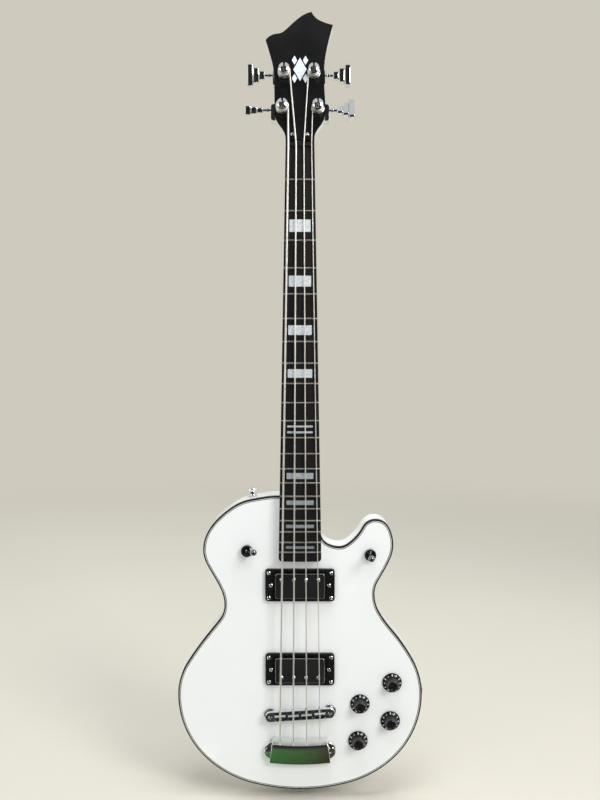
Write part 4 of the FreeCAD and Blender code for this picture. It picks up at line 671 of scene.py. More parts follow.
def ramp(tree, source, *stops):
    """Colours by a value, from stops of place and colour."""
    node = tree.nodes.new("ShaderNodeValToRGB")
    elements = node.color_ramp.elements
    while len(elements) < len(stops):
        elements.new(0.5)
    for element, (place, colour) in zip(elements, stops):
        element.position = place
        element.color = (*colour, 1)
    tree.links.new(source, node.inputs["Fac"])
    return node.outputs["Color"]


class Look:
    """One procedural material: a principled shader fed by textures in the object's own space."""

    def __init__(self, name, **sockets):
        self.material = bpy.data.materials.new(name)
        self.material.use_nodes = True
        self.nodes = self.material.node_tree.nodes
        self.links = self.material.node_tree.links
        self.shader = self.nodes["Principled BSDF"]
        self.coords = self.node("TexCoord").outputs
        for socket, value in sockets.items():
            self.shader.inputs[socket.replace("_", " ").title().replace("Ior", "IOR")].default_value = value

    def node(self, kind, **inputs):
        made = self.nodes.new("ShaderNode" + kind)
        for socket, value in inputs.items():
            made.inputs[socket.replace("_", " ")].default_value = value
        return made

    def noise(self, size, stretch=(1, 1, 1), detail=4.0, warp=0.0):
        """Noise with features of about the given size."""
        mapping = self.node("Mapping", Scale=[1 / (size * share) for share in stretch])
        texture = self.node("TexNoise", Scale=1.0, Detail=detail, Distortion=warp)
        self.links.new(self.coords["Object"], mapping.inputs["Vector"])
        self.links.new(mapping.outputs["Vector"], texture.inputs["Vector"])
        return texture.outputs["Fac"]

    def ramp(self, source, *stops):
        return ramp(self.material.node_tree, source, *stops)

    def patches(self, size, low, high):
        """Two tones in soft patches."""
        return self.ramp(self.noise(size), (PATCH_RANGE[0], low), (PATCH_RANGE[1], high))

    def spread(self, source, low, high):
        """Maps the middle of a noise to a range of values."""
        least, most = NOISE_RANGE
        node = self.node("MapRange", From_Min=least, From_Max=most, To_Min=low, To_Max=high)
        self.links.new(source, node.inputs["Value"])
        return node.outputs["Result"]

    def along(self, axis, low, high):
        """Share of the way between two places on one axis of the object's own space."""
        split = self.node("SeparateXYZ")
        share = self.node("MapRange", From_Min=low, From_Max=high)
        self.links.new(self.coords["Object"], split.inputs["Vector"])
        self.links.new(split.outputs[axis], share.inputs["Value"])
        return share.outputs["Result"]

    def times(self, first, second):
        """Product of two colours."""
        product = self.node("VectorMath")
        product.operation = "MULTIPLY"
        self.links.new(first, product.inputs[0])
        self.links.new(second, product.inputs[1])
        return product.outputs["Vector"]

    def feed(self, socket, source):
        self.links.new(source, self.shader.inputs[socket])

    def bump(self, source, depth):
        node = self.node("Bump", Strength=1.0, Distance=depth)
        self.links.new(source, node.inputs["Height"])
        self.feed("Normal", node.outputs["Normal"])

    def surface(self, low, high, patch, rough, smudge, grain, depth):
        """Two tones in patches, roughness from smudges and a fine bump."""
        self.feed("Base Color", self.patches(patch, low, high))
        self.feed("Roughness", self.spread(self.noise(smudge, detail=6.0), *rough))
        self.bump(self.noise(grain, detail=2.0), depth)
        return self.material


def white_lacquer():
    look = Look("white_lacquer", coat_weight=0.6, coat_roughness=0.04)
    low, high = (0.84, 0.866, 0.868), (0.866, 0.884, 0.882)
    return look.surface(low, high, patch=0.25, rough=(0.16, 0.26), smudge=0.03, grain=0.004, depth=3e-6)


def polished_black(name, tone, rough, coat, shine=0.3, coat_ior=1.5):
    look = Look(name, coat_weight=coat, coat_roughness=0.03, coat_ior=coat_ior, specular_ior_level=shine)
    low = (tone, tone, tone * 1.08)
    high = (tone * 1.7, tone * 1.66, tone * 1.66)
    return look.surface(low, high, patch=0.04, rough=rough, smudge=0.012, grain=0.003, depth=2e-6)


def moulded_black(name, tone, rough):
    look = Look(name, specular_ior_level=0.3)
    low, high = [tone] * 3, [tone * 1.6] * 3
    return look.surface(low, high, patch=0.02, rough=rough, smudge=0.006, grain=0.0004, depth=8e-6)


def metal(name, low, high, rough):
    look = Look(name, metallic=1.0)
    return look.surface(low, high, patch=0.015, rough=rough, smudge=0.012, grain=0.002, depth=1e-6)


def turned_steel():
    look = Look("steel", metallic=1.0)
    low, high = (0.46, 0.46, 0.46), (0.6, 0.6, 0.59)
    return look.surface(low, high, patch=0.01, rough=(0.28, 0.42), smudge=0.004, grain=0.0003, depth=6e-6)


def white_line():
    look = Look("white_binding", coat_weight=0.3, coat_roughness=0.06)
    low, high = (0.72, 0.71, 0.66), (0.8, 0.79, 0.75)
    return look.surface(low, high, patch=0.05, rough=(0.2, 0.32), smudge=0.01, grain=0.002, depth=2e-6)


def pearl():
    """Shell pieces with a swirl, and painted shade that greys them the nearer they lie to the body, standing
    in for the darker things they mirror there.
    """
    look = Look("pearl", coat_weight=0.5, coat_roughness=0.05)
    swirl = look.noise(0.006, (1, 1, 0.6), detail=5.0, warp=2.2)
    tones = look.ramp(swirl, (0.25, (0.3, 0.35, 0.4)), (0.42, (0.72, 0.76, 0.79)), (0.52, (0.44, 0.5, 0.55)),
                      (0.62, (0.86, 0.87, 0.87)), (0.78, (0.54, 0.6, 0.67)))
    # Painted shade: the base colour darkens towards the body along Z
    painted_shade = look.ramp(look.along("Z", PEARL_SHADE_LOW_Z, PEARL_SHADE_HIGH_Z), (0.0, (0.28, 0.29, 0.3)),
                      (0.5, (0.86, 0.87, 0.88)), (1.0, (1, 1, 1)))
    look.feed("Base Color", look.times(tones, painted_shade))
    look.feed("Roughness", look.spread(look.noise(0.004), 0.14, 0.34))
    look.bump(look.noise(0.003, detail=2.0), 3e-6)
    return look.material


def ebony():
    look = Look("ebony", specular_ior_level=0.25)
    grain = look.noise(0.0011, (1, 1, 40), detail=6.0, warp=0.4)
    look.feed("Base Color", look.ramp(grain, (0.3, (0.006, 0.0055, 0.0055)), (0.55, (0.01, 0.009, 0.0085)),
                                      (0.75, (0.019, 0.0155, 0.013))))
    look.feed("Roughness", look.spread(look.noise(0.02, (1, 1, 3)), 0.4, 0.58))
    look.bump(grain, 2.5e-5)
    return look.material


def string_steel():
    """Round-wound wire: the wraps are a bump along the string's length."""
    look = Look("string_steel", metallic=0.8)
    look.feed("Base Color", look.patches(0.02, (0.9, 0.87, 0.81), (0.97, 0.95, 0.9)))
    look.feed("Roughness", look.spread(look.noise(0.008), 0.34, 0.5))
    wave = look.node("TexWave", Scale=1 / (WRAP_PITCH * WAVE_UNIT))
    wave.bands_direction = "Y"
    look.links.new(look.coords["UV"], wave.inputs["Vector"])
    look.bump(wave.outputs["Fac"], 5e-5)
    return look.material


def ink():
    look = Look("number_ink")
    low, high = (0.72, 0.72, 0.69), (0.86, 0.86, 0.83)
    return look.surface(low, high, patch=0.002, rough=(0.45, 0.65), smudge=0.002, grain=0.0003, depth=4e-6)


LOOKS = {
    "white_lacquer": white_lacquer(),
    "black_binding": polished_black("black_binding", 0.008, (0.3, 0.45), coat=0.0, shine=0.15),
    "white_binding": white_line(),
    "black_gloss": polished_black("black_gloss", 0.006, (0.12, 0.18), coat=0.2),
    "pearl": pearl(),
    "steel": turned_steel(),
    "ebony": ebony(),
    "fret_wire": metal("fret_wire", (0.66, 0.63, 0.56), (0.78, 0.75, 0.68), (0.32, 0.46)),
    "nut_black": moulded_black("nut_black", 0.008, (0.32, 0.48)),
    "chrome": metal("chrome", (0.8, 0.81, 0.82), (0.88, 0.88, 0.88), (0.03, 0.11)),
    "dark_chrome": metal("dark_chrome", (0.24, 0.24, 0.25), (0.36, 0.36, 0.36), (0.08, 0.2)),
    "black_matte": moulded_black("black_matte", 0.006, (0.2, 0.32)),
    "string_steel": string_steel(),
    "knob_black": polished_black("knob_black", 0.005, (0.14, 0.26), coat=0.15),
    "pickup_black": polished_black("pickup_black", 0.004, (0.05, 0.12), 1.0, 0.5, HARD_GLOSS),
    "brass_plate": metal("brass_plate", (0.56, 0.43, 0.2), (0.68, 0.52, 0.26), (0.2, 0.36)),
    "lever_black": polished_black("lever_black", 0.006, (0.08, 0.18), 1.0, 0.5, HARD_GLOSS),
}
INK = ink()


def dress_nodes():
    """Gives each CAD node the finish of its slot."""
    for name, node in frame["nodes"].items():
        for material_slot in node.material_slots:
            material_slot.link = "OBJECT"
            material_slot.material = LOOKS[SLOT_OF[name]]


# Strings

def string_place(index):
    return index - (len(STRING_NAMES) - 1) / 2


def nut_point(index):
    x = string_place(index) * NUT_SPACING
    y = -NUT_STRING_RISE + x * x / (2 * BOARD_RADIUS) - STRING_RADII[STRING_NAMES[index]]
    return Vector((x, y, NUT_Z + NUT_LENGTH / 2))


def saddle_point(index):
    x = string_place(index) * BRIDGE_SPACING
    y = TOP_Y - BRIDGE_STRING_RISE + x * x / (2 * BOARD_RADIUS) - STRING_RADII[STRING_NAMES[index]]
    return Vector((x, y, BRIDGE_Z + x * tan(BRIDGE_SLANT)))


def winding(name, nut):
    """Points of the turns on a tuner post, from where the run from the nut touches it."""
    x, z = TUNERS[name]
    side = copysign(1, x)
    thick = STRING_RADII[name]
    radius = POST_RADIUS + thick + WINDING_CLEARANCE
    local_nut = HEAD.inverted() @ nut
    start = atan2(z - local_nut.z, x - local_nut.x) + side * pi / 2
    start += side * asin(radius / hypot(x - local_nut.x, z - local_nut.z))
    height = POST_FOOT - thick - WINDING_GAP
    climb = 2 * thick + WINDING_GAP
    points = []
    for step in range(STEPS_PER_TURN * WINDING_TURNS + 1):
        turns = step / STEPS_PER_TURN
        turn = start - side * 2 * pi * turns
        points.append(HEAD @ Vector((x + radius * cos(turn), height - climb * turns, z + radius * sin(turn))))
    return points


def bend(before, corner, after, run):
    """Points round a corner of a taut line."""
    start = corner + (before - corner).normalized() * run
    end = corner + (after - corner).normalized() * run
    return bezier(start, start.lerp(corner, BEND_PULL), end.lerp(corner, BEND_PULL), end, steps=6)


def strings():
    """Four wound strings, each in a run from post to saddle and a tail from saddle to tailpiece."""
    for index, name in enumerate(STRING_NAMES):
        node = "string_" + name
        radius = STRING_RADII[name]
        nut = nut_point(index)
        saddle = saddle_point(index)
        ball = Vector((saddle.x, BALL_Y, BALL_Z))
        turns = winding(name, nut)
        arrive = turns[0] - (turns[0] - nut).normalized() * WINDING_APPROACH
        bm = bmesh.new()
        tube(bm, [saddle] + bend(saddle, nut, turns[0], BEND_RUN) + [arrive] + turns, radius)
        run = make(node + "_run", bm, None, "string_steel", (node,), TURNED_ANGLE)
        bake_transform(run)
        bm = bmesh.new()
        knee = saddle + (saddle - nut).normalized() * SADDLE_REST
        start = ball + (knee - ball).normalized() * BALL_RADIUS
        tube(bm, [start] + bend(start, knee, saddle, KNEE_RUN) + [saddle], radius)
        profile = [(radius, BALL_SIDE[0][1]), *BALL_SIDE, (radius, BALL_SIDE[-1][1])]
        turned(bm, profile, facing(ball, (1, 0, 0)), 24, looped=True)
        tail = make(node + "_tail", bm, None, "string_steel", sharp=TURNED_ANGLE)
        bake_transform(tail)


# Neck and headstock

def neck_blend():
    """Back of the neck, which swells from its round section to the square foot of the head."""
    rings = []
    swell = NECK_DEPTH - NECK_SIDE
    for step in range(BLEND_STEPS + 1):
        share = step / BLEND_STEPS
        ease = share * share * (3 - 2 * share)
        drop = BLEND_LENGTH * (1 - share)
        tilt = HEAD_TILT * ease
        half = NECK_HALF_WIDTH + NECK_FLARE * drop + BLEND_PROUD
        radius = (half ** 2 + swell ** 2) / (2 * swell)
        edge = asin(half / radius)
        ring = [(half, BLEND_FRONT, 0), (-half, BLEND_FRONT, 0)]
        for place in range(BLEND_SIDES + 1):
            turn = edge * (2 * place / BLEND_SIDES - 1)
            rounded = (NECK_DEPTH - radius + radius * cos(turn)) / cos(tilt)
            squared = max(rounded, HEAD_BACK)
            ring.append((radius * sin(turn), rounded + (squared - rounded) * ease, 0))
        section = at(0, 0, HEAD_Z - drop) @ spin(-tilt, "X")
        rings.append([section @ Vector(point) for point in ring])
    bm = bmesh.new()
    skin(bm, rings)
    make("neck_blend", bm, "root", "white_lacquer")


def truss_cover():
    """Bell-shaped plate with a bevelled edge."""
    half = bezier(*COVER_SIDE) + bezier(*COVER_TIP)[1:]
    outline = half + [Vector((-x, z)) for x, z in half[-2::-1]]
    bm = bmesh.new()
    plate(bm, outline, FACE_Y - COVER_THICK, FACE_Y, COVER_BEVEL, COVER_FOOT_ROUND, HEAD)
    stand_in("truss_cover_plate", bm, "truss_rod_cover")


# Tuners

def tuner_frame(name):
    x, z = TUNERS[name]
    return HEAD @ at(x, 0, z)


def tuner_posts():
    """Posts with a wheel at the foot and a slotted, domed cap."""
    profile = [*POST_SIDE, *arc(*POST_DOME, 8)]
    corner, front_round, back_round = POST_SLOT_ROUNDS
    slot = rounded_rect(*POST_SLOT, corner, 2)
    for name in TUNERS:
        place = tuner_frame(name)
        bm = bmesh.new()
        turned(bm, profile, place, 64)
        cutter = bmesh.new()
        plate(cutter, slot, POST_SLOT_FRONT, POST_SLOT_BACK, front_round, back_round, place)
        stand_in("post_cap_" + name, carve(bm, cutter), "tuner_post_" + name, CAP_ANGLE)


def tuner_washers():
    profile = fillet(WASHER, WASHER_ROUND)
    bm = bmesh.new()
    for name in TUNERS:
        turned(bm, profile, tuner_frame(name), 64, looped=True)
    stand_in("post_washers", bm, "tuner_bushings")


def tuner_buttons():
    """Stepped buttons on their worm shafts."""
    for name, (x, _) in TUNERS.items():
        axis = tuner_frame(name) @ at(0, WORM_Y, WORM_RISE)
        axis = axis @ spin(radians(BUTTON_REST_TURN[name]), "X")
        sideways = axis @ spin(-copysign(pi / 2, x), "Z")
        bm = bmesh.new()
        turned(bm, WORM, sideways, 32)
        reach = BUTTON_START
        for length, width, thick in BUTTON_TIERS:
            outline = rounded_rect(thick, width, BUTTON_CORNER)
            plate(bm, outline, reach, reach + length, BUTTON_ROUND, BUTTON_ROUND, sideways)
            reach += length
        stand_in("stepped_button_" + name, bm, "tuner_button_" + name)


def tuner_housings():
    bm = bmesh.new()
    shell = rounded_rect(*HOUSING_SIZE, HOUSING_CORNER)
    lug = rounded_rect(*LUG_SIZE, LUG_CORNER)
    for name, (x, _) in TUNERS.items():
        place = tuner_frame(name)
        for outline, shift, rise, thick, edge in (
                (shell, copysign(HOUSING_SHIFT, x), HOUSING_SHIFT, HOUSING_DEPTH, HOUSING_ROUND),
                (lug, 0, -LUG_DROP, LUG_THICK, LUG_ROUND)):
            spot = place @ at(shift, 0, rise)
            plate(bm, outline, HEAD_BACK, HEAD_BACK + thick, HOUSING_FOOT_ROUND, edge, spot)
    stand_in("gear_housings", bm, "tuner_housings")


# Pickups

def pickup_pieces():
    """Mounting rings and the polished covers in them."""
    bm = bmesh.new()
    outer = rounded_rect(*RING_SIZE, RING_CORNER)
    inner = rounded_rect(*WINDOW_SIZE, PICKUP_CORNER)
    outline = rounded_rect(*PICKUP_SIZE, PICKUP_CORNER)
    inside = inset(outline, PICKUP_WALL)
    for body in ("neck_pickup", "bridge_pickup"):
        low, high = box(body + "_cover")
        middle = at(0, 0, (low.z + high.z) / 2)
        ring_plate(bm, outer, inner, TOP_Y - RING_RISE, TOP_Y, RING_ROUND, middle)
        rings = [at_depth(inset(outline, PICKUP_ROUND), low.y + PICKUP_WALL),
                 at_depth(inside, low.y + PICKUP_ROUND), at_depth(inside, high.y), at_depth(outline, high.y)]
        shell = bmesh.new()
        skin(shell, rings + rounded_rim(outline, low.y, 1, PICKUP_ROUND), middle)
        stand_in(body + "_shell", shell, body + "_cover")
    stand_in("mounting_rings", bm, "pickup_rings")


# Bridge and tailpiece

def bridge_casting():
    """Long bar with round ends, an open channel for the saddles and a bore for each post."""
    radius = BAR_WIDTH / 2
    end = BAR_LENGTH / 2 - radius
    outline = []
    for side in (1, -1):
        for step in range(-BAR_END_STEPS, BAR_END_STEPS + 1):
            turn = pi / 2 * step / BAR_END_STEPS
            outline.append(Vector((side * (end + radius * cos(turn)), side * radius * sin(turn))))
        for step in range(1, BAR_SIDE_STEPS):
            outline.append(Vector((side * end * (1 - 2 * step / BAR_SIDE_STEPS), side * radius)))
    half_x, half_z = BAR_SLOT_HALF
    channel = [Vector((max(-half_x, min(half_x, x)), max(-half_z, min(half_z, z)))) for x, z in outline]
    lip = [point + (outer - point) * BAR_LIP_SHARE for point, outer in zip(channel, outline)]
    rings = [at_depth(channel, BAR_FRONT + BAR_SLOT_DEPTH), at_depth(channel, BAR_FRONT + BAR_LIP_DEPTH),
             at_depth(lip, BAR_FRONT)]
    rings += rounded_rim(outline, BAR_FRONT, 1, BAR_FRONT_ROUND)[::-1]
    rings += rounded_rim(outline, BAR_BACK, -1, BAR_BACK_ROUND)
    bm = bmesh.new()
    skin(bm, rings, BRIDGE)
    bores = bmesh.new()
    bore = BRIDGE_POST_RADIUS + POST_PLAY
    front, back = BAR_FRONT - BORE_PAST, BAR_BACK + BORE_PAST
    for side in (-1, 1):
        place = BRIDGE @ at(side * POST_X, 0, 0)
        turned(bores, [(0, back), (bore, back), (bore, front), (0, front)], place, 40)
    stand_in("bridge_casting", carve(bm, bores), "bridge_bar")


def saddle_blocks():
    half, top = SADDLE_HALF_LENGTH, SADDLE_CREST_HALF
    for index, name in enumerate(STRING_NAMES):
        crest = saddle_point(index).y + STRING_RADII[name] + STRING_GAP
        corners = [(-half, SADDLE_SEAT), (-half, BAR_FRONT), (-top, crest), (top, crest), (half, BAR_FRONT),
                   (half, SADDLE_SEAT)]
        outline = fillet(corners, SADDLE_CORNER, 3)
        middle = string_place(index) * BRIDGE_SPACING / cos(BRIDGE_SLANT)
        turn = Matrix(((0, 1, 0, middle), (0, 0, 1, 0), (1, 0, 0, 0), (0, 0, 0, 1)))
        bm = bmesh.new()
        plate(bm, outline, -SADDLE_WIDTH / 2, SADDLE_WIDTH / 2, SADDLE_ROUND, SADDLE_ROUND, BRIDGE @ turn)
        stand_in("saddle_block_" + name, bm, "saddle_" + name)


def knurled(radius, teeth, depth):
    """Outline of a toothed rim."""
    outline = []
    for tooth in range(teeth):
        for share, drop in TOOTH_STEPS:
            outline.append(polar(radius - depth * drop, 2 * pi * (tooth + share) / teeth))
    return outline


def thumbwheels():
    outer = knurled(THUMBWHEEL_RADIUS, THUMBWHEEL_TEETH, THUMBWHEEL_TOOTH)
    inner = [point.normalized() * (BRIDGE_POST_RADIUS + THUMBWHEEL_PLAY) for point in outer]
    for name, side in (("bass", -1), ("treble", 1)):
        place = at(*(BRIDGE @ Vector((side * POST_X, 0, 0))))
        low, high = box("thumbwheel_" + name)
        bm = bmesh.new()
        ring_plate(bm, outer, inner, low.y, high.y, THUMBWHEEL_ROUND, place)
        stand_in("knurled_wheel_" + name, bm, "thumbwheel_" + name)


def tail_casting():
    """Bowed bar with a sloped front and a crowned back, and an ear for each stud."""
    corners = [*TAIL_FRONT, *arc(*TAIL_CROWN, 14), TAIL_HEEL]
    section = fillet(corners, TAIL_ROUND, 3)[::-1]
    spread = asin(TAIL_HALF_WIDTH / TAIL_BOW_RADIUS)
    stops = [(2 * spread * step / TAIL_STEPS - spread, 0.0) for step in range(1, TAIL_STEPS)]
    for step in range(ROUND_STEPS + 1):
        turn = pi / 2 * step / ROUND_STEPS
        reach = spread - TAIL_ROUND * (1 - cos(turn)) / TAIL_BOW_RADIUS
        inward = TAIL_ROUND * (1 - sin(turn))
        stops += [(-reach, inward), (reach, inward)]
    rings = []
    for turn, inward in sorted(stops):
        bow = at(0, TOP_Y, TAIL_Z + TAIL_BOW_RADIUS) @ spin(-turn, "Y")
        rings.append([bow @ Vector((0, -y, -TAIL_BOW_RADIUS - drop)) for drop, y in inset(section, inward)])
    bm = bmesh.new()
    skin(bm, rings)
    for side in (-1, 1):
        place = at(side * EAR_X, 0, TAIL_Z - EAR_DROP)
        plate(bm, circle(EAR_RADIUS, 64), EAR_FRONT, EAR_BACK, EAR_ROUND, EAR_BACK_ROUND, place)
    stand_in("tail_casting", bm, "tailpiece")


# Controls

def flank_rise(radius):
    """Height of the knob's skirt at a radius."""
    centre = arc_centre(*KNOB_FLANK)
    reach = (Vector(KNOB_FLANK[0]) - centre).length
    return centre.y - sqrt(reach ** 2 - (radius - centre.x) ** 2)


def number_mesh(number):
    """Flat mesh of a number, as points and faces."""
    curve = bpy.data.curves.new("number", "FONT")
    curve.body = str(number)
    curve.size = NUMBER_SIZE
    curve.align_x = "CENTER"
    curve.align_y = "CENTER"
    curve.extrude = NUMBER_THICK / 2
    curve.offset = NUMBER_BOLD
    shaped = add("number", curve).evaluated_get(bpy.context.evaluated_depsgraph_get())
    mesh = shaped.to_mesh()
    points = [vert.co.copy() for vert in mesh.vertices]
    faces = [tuple(polygon.vertices) for polygon in mesh.polygons]
    shaped.to_mesh_clear()
    bpy.data.curves.remove(curve)
    return points, faces


def knobs():
    """Bell knobs with the numbers 0 to 10 on their skirts."""
    rises = [*KNOB_INSIDE, *KNOB_EDGE, *arc(*KNOB_FLANK, 14), *arc(*KNOB_CROWN, 6), *KNOB_DISH]
    profile = [(radius, -rise) for radius, rise in rises]
    numbers = [number_mesh(number) for number in range(TOP_NUMBER + 1)]
    for name, (x, height) in KNOBS.items():
        place = at(x, TOP_Y, SCALE_END_Z + height)
        bm = bmesh.new()
        turned(bm, profile, place, 72)
        stand_in("bell_" + name, bm, "knob_" + name)
        marks = bmesh.new()
        for number, (points, faces) in enumerate(numbers):
            middle = pi / 2 + NUMBER_STEP * (number - TOP_NUMBER / 2)
            verts = []
            for point in points:
                radius = NUMBER_RADIUS - point.y
                turn = middle + point.x / NUMBER_RADIUS
                rise = flank_rise(radius) + NUMBER_LIFT + point.z
                spot = Vector((radius * cos(turn), -rise, radius * sin(turn)))
                verts.append(marks.verts.new(place @ spot))
            for face in faces:
                marks.faces.new([verts[corner] for corner in face])
        make("numbers_" + name, marks, BODY_OF["knob_" + name], "knob_black", look=INK)


def switches():
    """Round collars on the body's top, and levers with glossy tips."""
    collar = fillet(COLLAR, COLLAR_ROUND)
    tip_profile = fillet(TIP_SIDE, TIP_ROUND, closed=False) + arc(*TIP_DOME, 8)[1:]
    stem = [*arc(*LEVER_BALL), *LEVER_STEM]
    collars = bmesh.new()
    for name, (x, height, lean, direction) in SWITCHES.items():
        z = SCALE_END_Z + height
        turned(collars, collar, at(x, TOP_Y, z), 64, looped=True)
        swing = at(x, TOP_Y - PIVOT_RISE, z) @ spin(radians(direction), "Y") @ spin(radians(lean), "Z")
        tip = bmesh.new()
        turned(tip, tip_profile, swing, 40)
        stand_in("switch_tip_" + name, tip, "switch_lever_" + name, TURNED_ANGLE)
        arm = bmesh.new()
        turned(arm, stem, swing, 32)
        make("switch_arm_" + name, arm, "lever_" + name, "chrome")
    make("switch_collars", collars, "root", "dark_chrome")


def strap_buttons():
    """Turned buttons with a screw in the middle of each."""

    def shape(point):
        if point.y > 0 or Vector((point.x, point.z)).length > STRAP_SCREW_RADIUS:
            return point
        return sunk(point, "cross", *STRAP_RECESS)

    bm = bmesh.new()
    for place, _ in screw_frames("strap_buttons"):
        turned(bm, STRAP, place, 56, shape)
    stand_in("strap_studs", bm, "strap_buttons")


def jack():
    """Plate on the rim and the socket's six-sided nut."""
    low, high = box("jack_plate")
    place = facing((high.x, (low.y + high.y) / 2, (low.z + high.z) / 2), (1, 0, 0))
    outer = rounded_rect(high.y - low.y, high.z - low.z, JACK_PLATE_CORNER, 8)
    inner = [point.normalized() * JACK_HOLE for point in outer]
    bm = bmesh.new()
    ring_plate(bm, outer, inner, 0, high.x - low.x, JACK_PLATE_ROUND, place)
    stand_in("jack_cover", bm, "jack_plate")
    corners = []
    for step in range(JACK_NUT_STEPS):
        turn = 2 * pi * step / JACK_NUT_STEPS
        reach = JACK_NUT_INRADIUS / cos((turn + pi / 6) % (pi / 3) - pi / 6)
        corners.append(polar(reach, turn))
    inner = [point.normalized() * JACK_HOLE for point in corners]
    nut = bmesh.new()
    ring_plate(nut, corners, inner, -JACK_NUT_THICK, 0, JACK_NUT_ROUND, place)
    make("jack_nut", nut, "root", "chrome")


def screws():
    """Small screws, the tailpiece's studs and the bridge's posts, each with a cross or a slot."""
    for piece, node, radius, head, shank, recess in SCREW_GROUPS:
        bm = bmesh.new()
        for count, (place, length) in enumerate(screw_frames(node)):
            screw(bm, place, length, radius, head, shank, recess, SCREW_TURN * count)
        stand_in(piece, bm, node)
    studs, posts = bmesh.new(), bmesh.new()
    for side in (-1, 1):
        spot = Vector((side * STUD_X, EAR_FRONT - STUD_HEAD, TAIL_Z - EAR_DROP))
        screw(studs, at(*spot), STUD_BACK - spot.y, STUD_HEAD_RADIUS, STUD_HEAD, STUD_RADIUS,
              "slot", STUD_TURN, 56)
        spot = BRIDGE @ Vector((side * POST_X, BAR_FRONT - BRIDGE_POST_PROUD, 0))
        screw(posts, at(*spot), STUD_BACK - spot.y, BRIDGE_POST_RADIUS, BRIDGE_POST_HEAD,
              BRIDGE_POST_SHANK, "slot", BRIDGE_POST_TURN)
    stand_in("tail_studs", studs, "tailpiece_studs")
    stand_in("bridge_post_screws", posts, "bridge_posts")


# Stage, light and camera

def mixed(tree, share, first, second):
    """Two shaders mixed by a share."""
    mix = tree.nodes.new("ShaderNodeMixShader")
    for socket, source in zip(mix.inputs, (share, first, second)):
        tree.links.new(source, socket)
    return mix.outputs["Shader"]


def far_card():
    look = Look("far_card")
    low, high = (0.006, 0.006, 0.006), (0.018, 0.017, 0.017)
    return look.surface(low, high, patch=0.09, rough=(0.7, 0.85), smudge=0.1, grain=0.004, depth=1e-5)


def near_card():
    """Leaf green that turns to brown across the card: a painted reflection, seen only in the polished metal
    in front of it.
    """
    look = Look("near_card", roughness=0.8)
    tones = look.ramp(look.along("X", -NEAR_CARD_TURN, NEAR_CARD_TURN), (0.0, (0.03, 0.115, 0.022)),
                      (0.5, (0.028, 0.086, 0.016)), (1.0, (0.034, 0.026, 0.006)))
    look.feed("Base Color", look.times(tones, look.patches(0.12, (0.7, 0.7, 0.7), (1, 1, 1))))
    return look.material


def faded_floor():
    """Pale floor that thins out with distance until only the surroundings are left."""
    look = Look("studio_floor")
    pale = [tone * STRAW_LIFT for tone in STRAW]
    look.surface(STRAW, pale, patch=0.8, rough=(0.7, 0.85), smudge=0.1, grain=0.004, depth=1e-5)
    reach = look.node("VectorMath")
    reach.operation = "LENGTH"
    look.links.new(look.coords["Object"], reach.inputs[0])
    fade = look.node("MapRange", From_Min=FLOOR_CLEAR, From_Max=FLOOR_RADIUS)
    fade.interpolation_type = "SMOOTHSTEP"
    look.links.new(reach.outputs["Value"], fade.inputs["Value"])
    clear = look.node("BsdfTransparent").outputs["BSDF"]
    surface = mixed(look.material.node_tree, fade.outputs["Result"], look.shader.outputs["BSDF"], clear)
    look.links.new(surface, look.nodes["Material Output"].inputs["Surface"])
    return look.material


def stage():
    """Round pale floor, and a folded dark card in front that only reflections see."""
    floor_z = cad_low.z
    mesh = bpy.data.meshes.new("studio_floor")
    disc = circle(FLOOR_RADIUS, 96)
    mesh.from_pydata([(x, y, 0) for x, y in disc], [], [list(range(len(disc)))])
    mesh.materials.append(faded_floor())
    floor = add("studio_floor", mesh)
    floor.location.z = floor_z
    card = bpy.data.meshes.new("dark_card")
    near = ((NEAR_CARD_WIDTH, NEAR_CARD_START, floor_z), (NEAR_CARD_WIDTH, FAR_CARD_START, floor_z))
    far = ((CARD_WIDTH, FAR_CARD_START, floor_z), (CARD_WIDTH, -CARD_REACH, floor_z),
           (CARD_WIDTH, -CARD_REACH, CARD_TOP))
    corners = [(side * width, y, z) for width, y, z in near + far for side in (-1, 1)]
    card.from_pydata(corners, [], [(0, 1, 3, 2), (4, 5, 7, 6), (6, 7, 9, 8)])
    card.materials.append(near_card())
    card.materials.append(far_card())
    for polygon in card.polygons[1:]:
        polygon.material_index = 1
    flag = add("dark_card", card)
    flag.location.z = CARD_GAP
    flag.visible_camera = False
    flag.visible_diffuse = False
    flag.visible_shadow = False


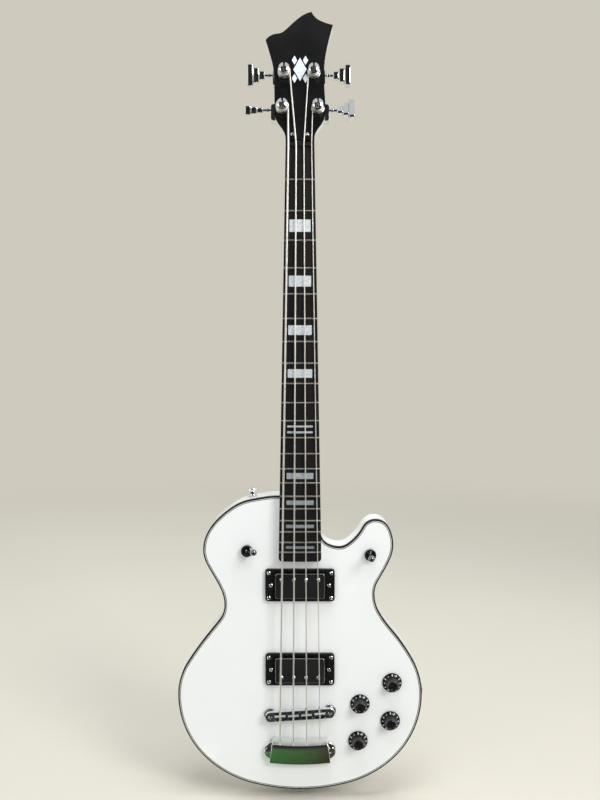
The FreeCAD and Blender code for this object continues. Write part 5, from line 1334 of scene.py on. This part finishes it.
def lights():
    """Soft lamps. One that isn't mirrored lights the object without showing in polished metal."""
    for name, place, size, power, colour, mirrored in LAMPS:
        data = bpy.data.lights.new(name, "AREA")
        data.shape = "RECTANGLE"
        data.size, data.size_y = size
        data.energy = power
        data.color = colour
        lamp = add(name, data)
        lamp.location = place
        lamp.visible_camera = False
        lamp.visible_glossy = mirrored
        lamp.rotation_euler = (LAMP_TARGET - Vector(place)).to_track_quat("-Z", "Y").to_euler()


def world():
    """Even light from all around, and plain pale surroundings to look at and to reflect."""
    made = bpy.data.worlds.new("studio")
    made.use_nodes = True
    nodes = made.node_tree.nodes
    links = made.node_tree.links
    light = nodes["Background"]
    light.inputs["Color"].default_value = WORLD_TINT
    light.inputs["Strength"].default_value = WORLD_LIGHT
    seen = nodes.new("ShaderNodeBackground")
    split = nodes.new("ShaderNodeSeparateXYZ")
    links.new(nodes.new("ShaderNodeTexCoord").outputs["Generated"], split.inputs["Vector"])
    sky = ramp(made.node_tree, split.outputs["Z"], *zip(SKY_PLACES, (STRAW, SKY)))
    links.new(sky, seen.inputs["Color"])
    path = nodes.new("ShaderNodeLightPath").outputs
    direct = path["Is Camera Ray"]
    for kind in ("Is Glossy Ray", "Is Transmission Ray"):
        either = nodes.new("ShaderNodeMath")
        either.operation = "MAXIMUM"
        links.new(direct, either.inputs[0])
        links.new(path[kind], either.inputs[1])
        direct = either.outputs["Value"]
    surface = mixed(made.node_tree, direct, light.outputs["Background"], seen.outputs["Background"])
    links.new(surface, nodes["World Output"].inputs["Surface"])
    bpy.context.scene.world = made


def camera():
    data = bpy.data.cameras.new("camera")
    data.lens = CAMERA_LENS
    data.clip_start = CAMERA_NEAR
    eye = add("camera", data)
    eye.location = CAMERA_PLACE
    eye.rotation_euler.x = CAMERA_PITCH
    bpy.context.scene.camera = eye
    bpy.context.scene.view_settings.view_transform = "Standard"


for step in (camera, stage, lights, world, dress_nodes, strings, tuner_posts, tuner_washers, tuner_buttons,
             tuner_housings, neck_blend, truss_cover, pickup_pieces, bridge_casting, saddle_blocks,
             thumbwheels, tail_casting, knobs, switches, strap_buttons, jack, screws):
    step()
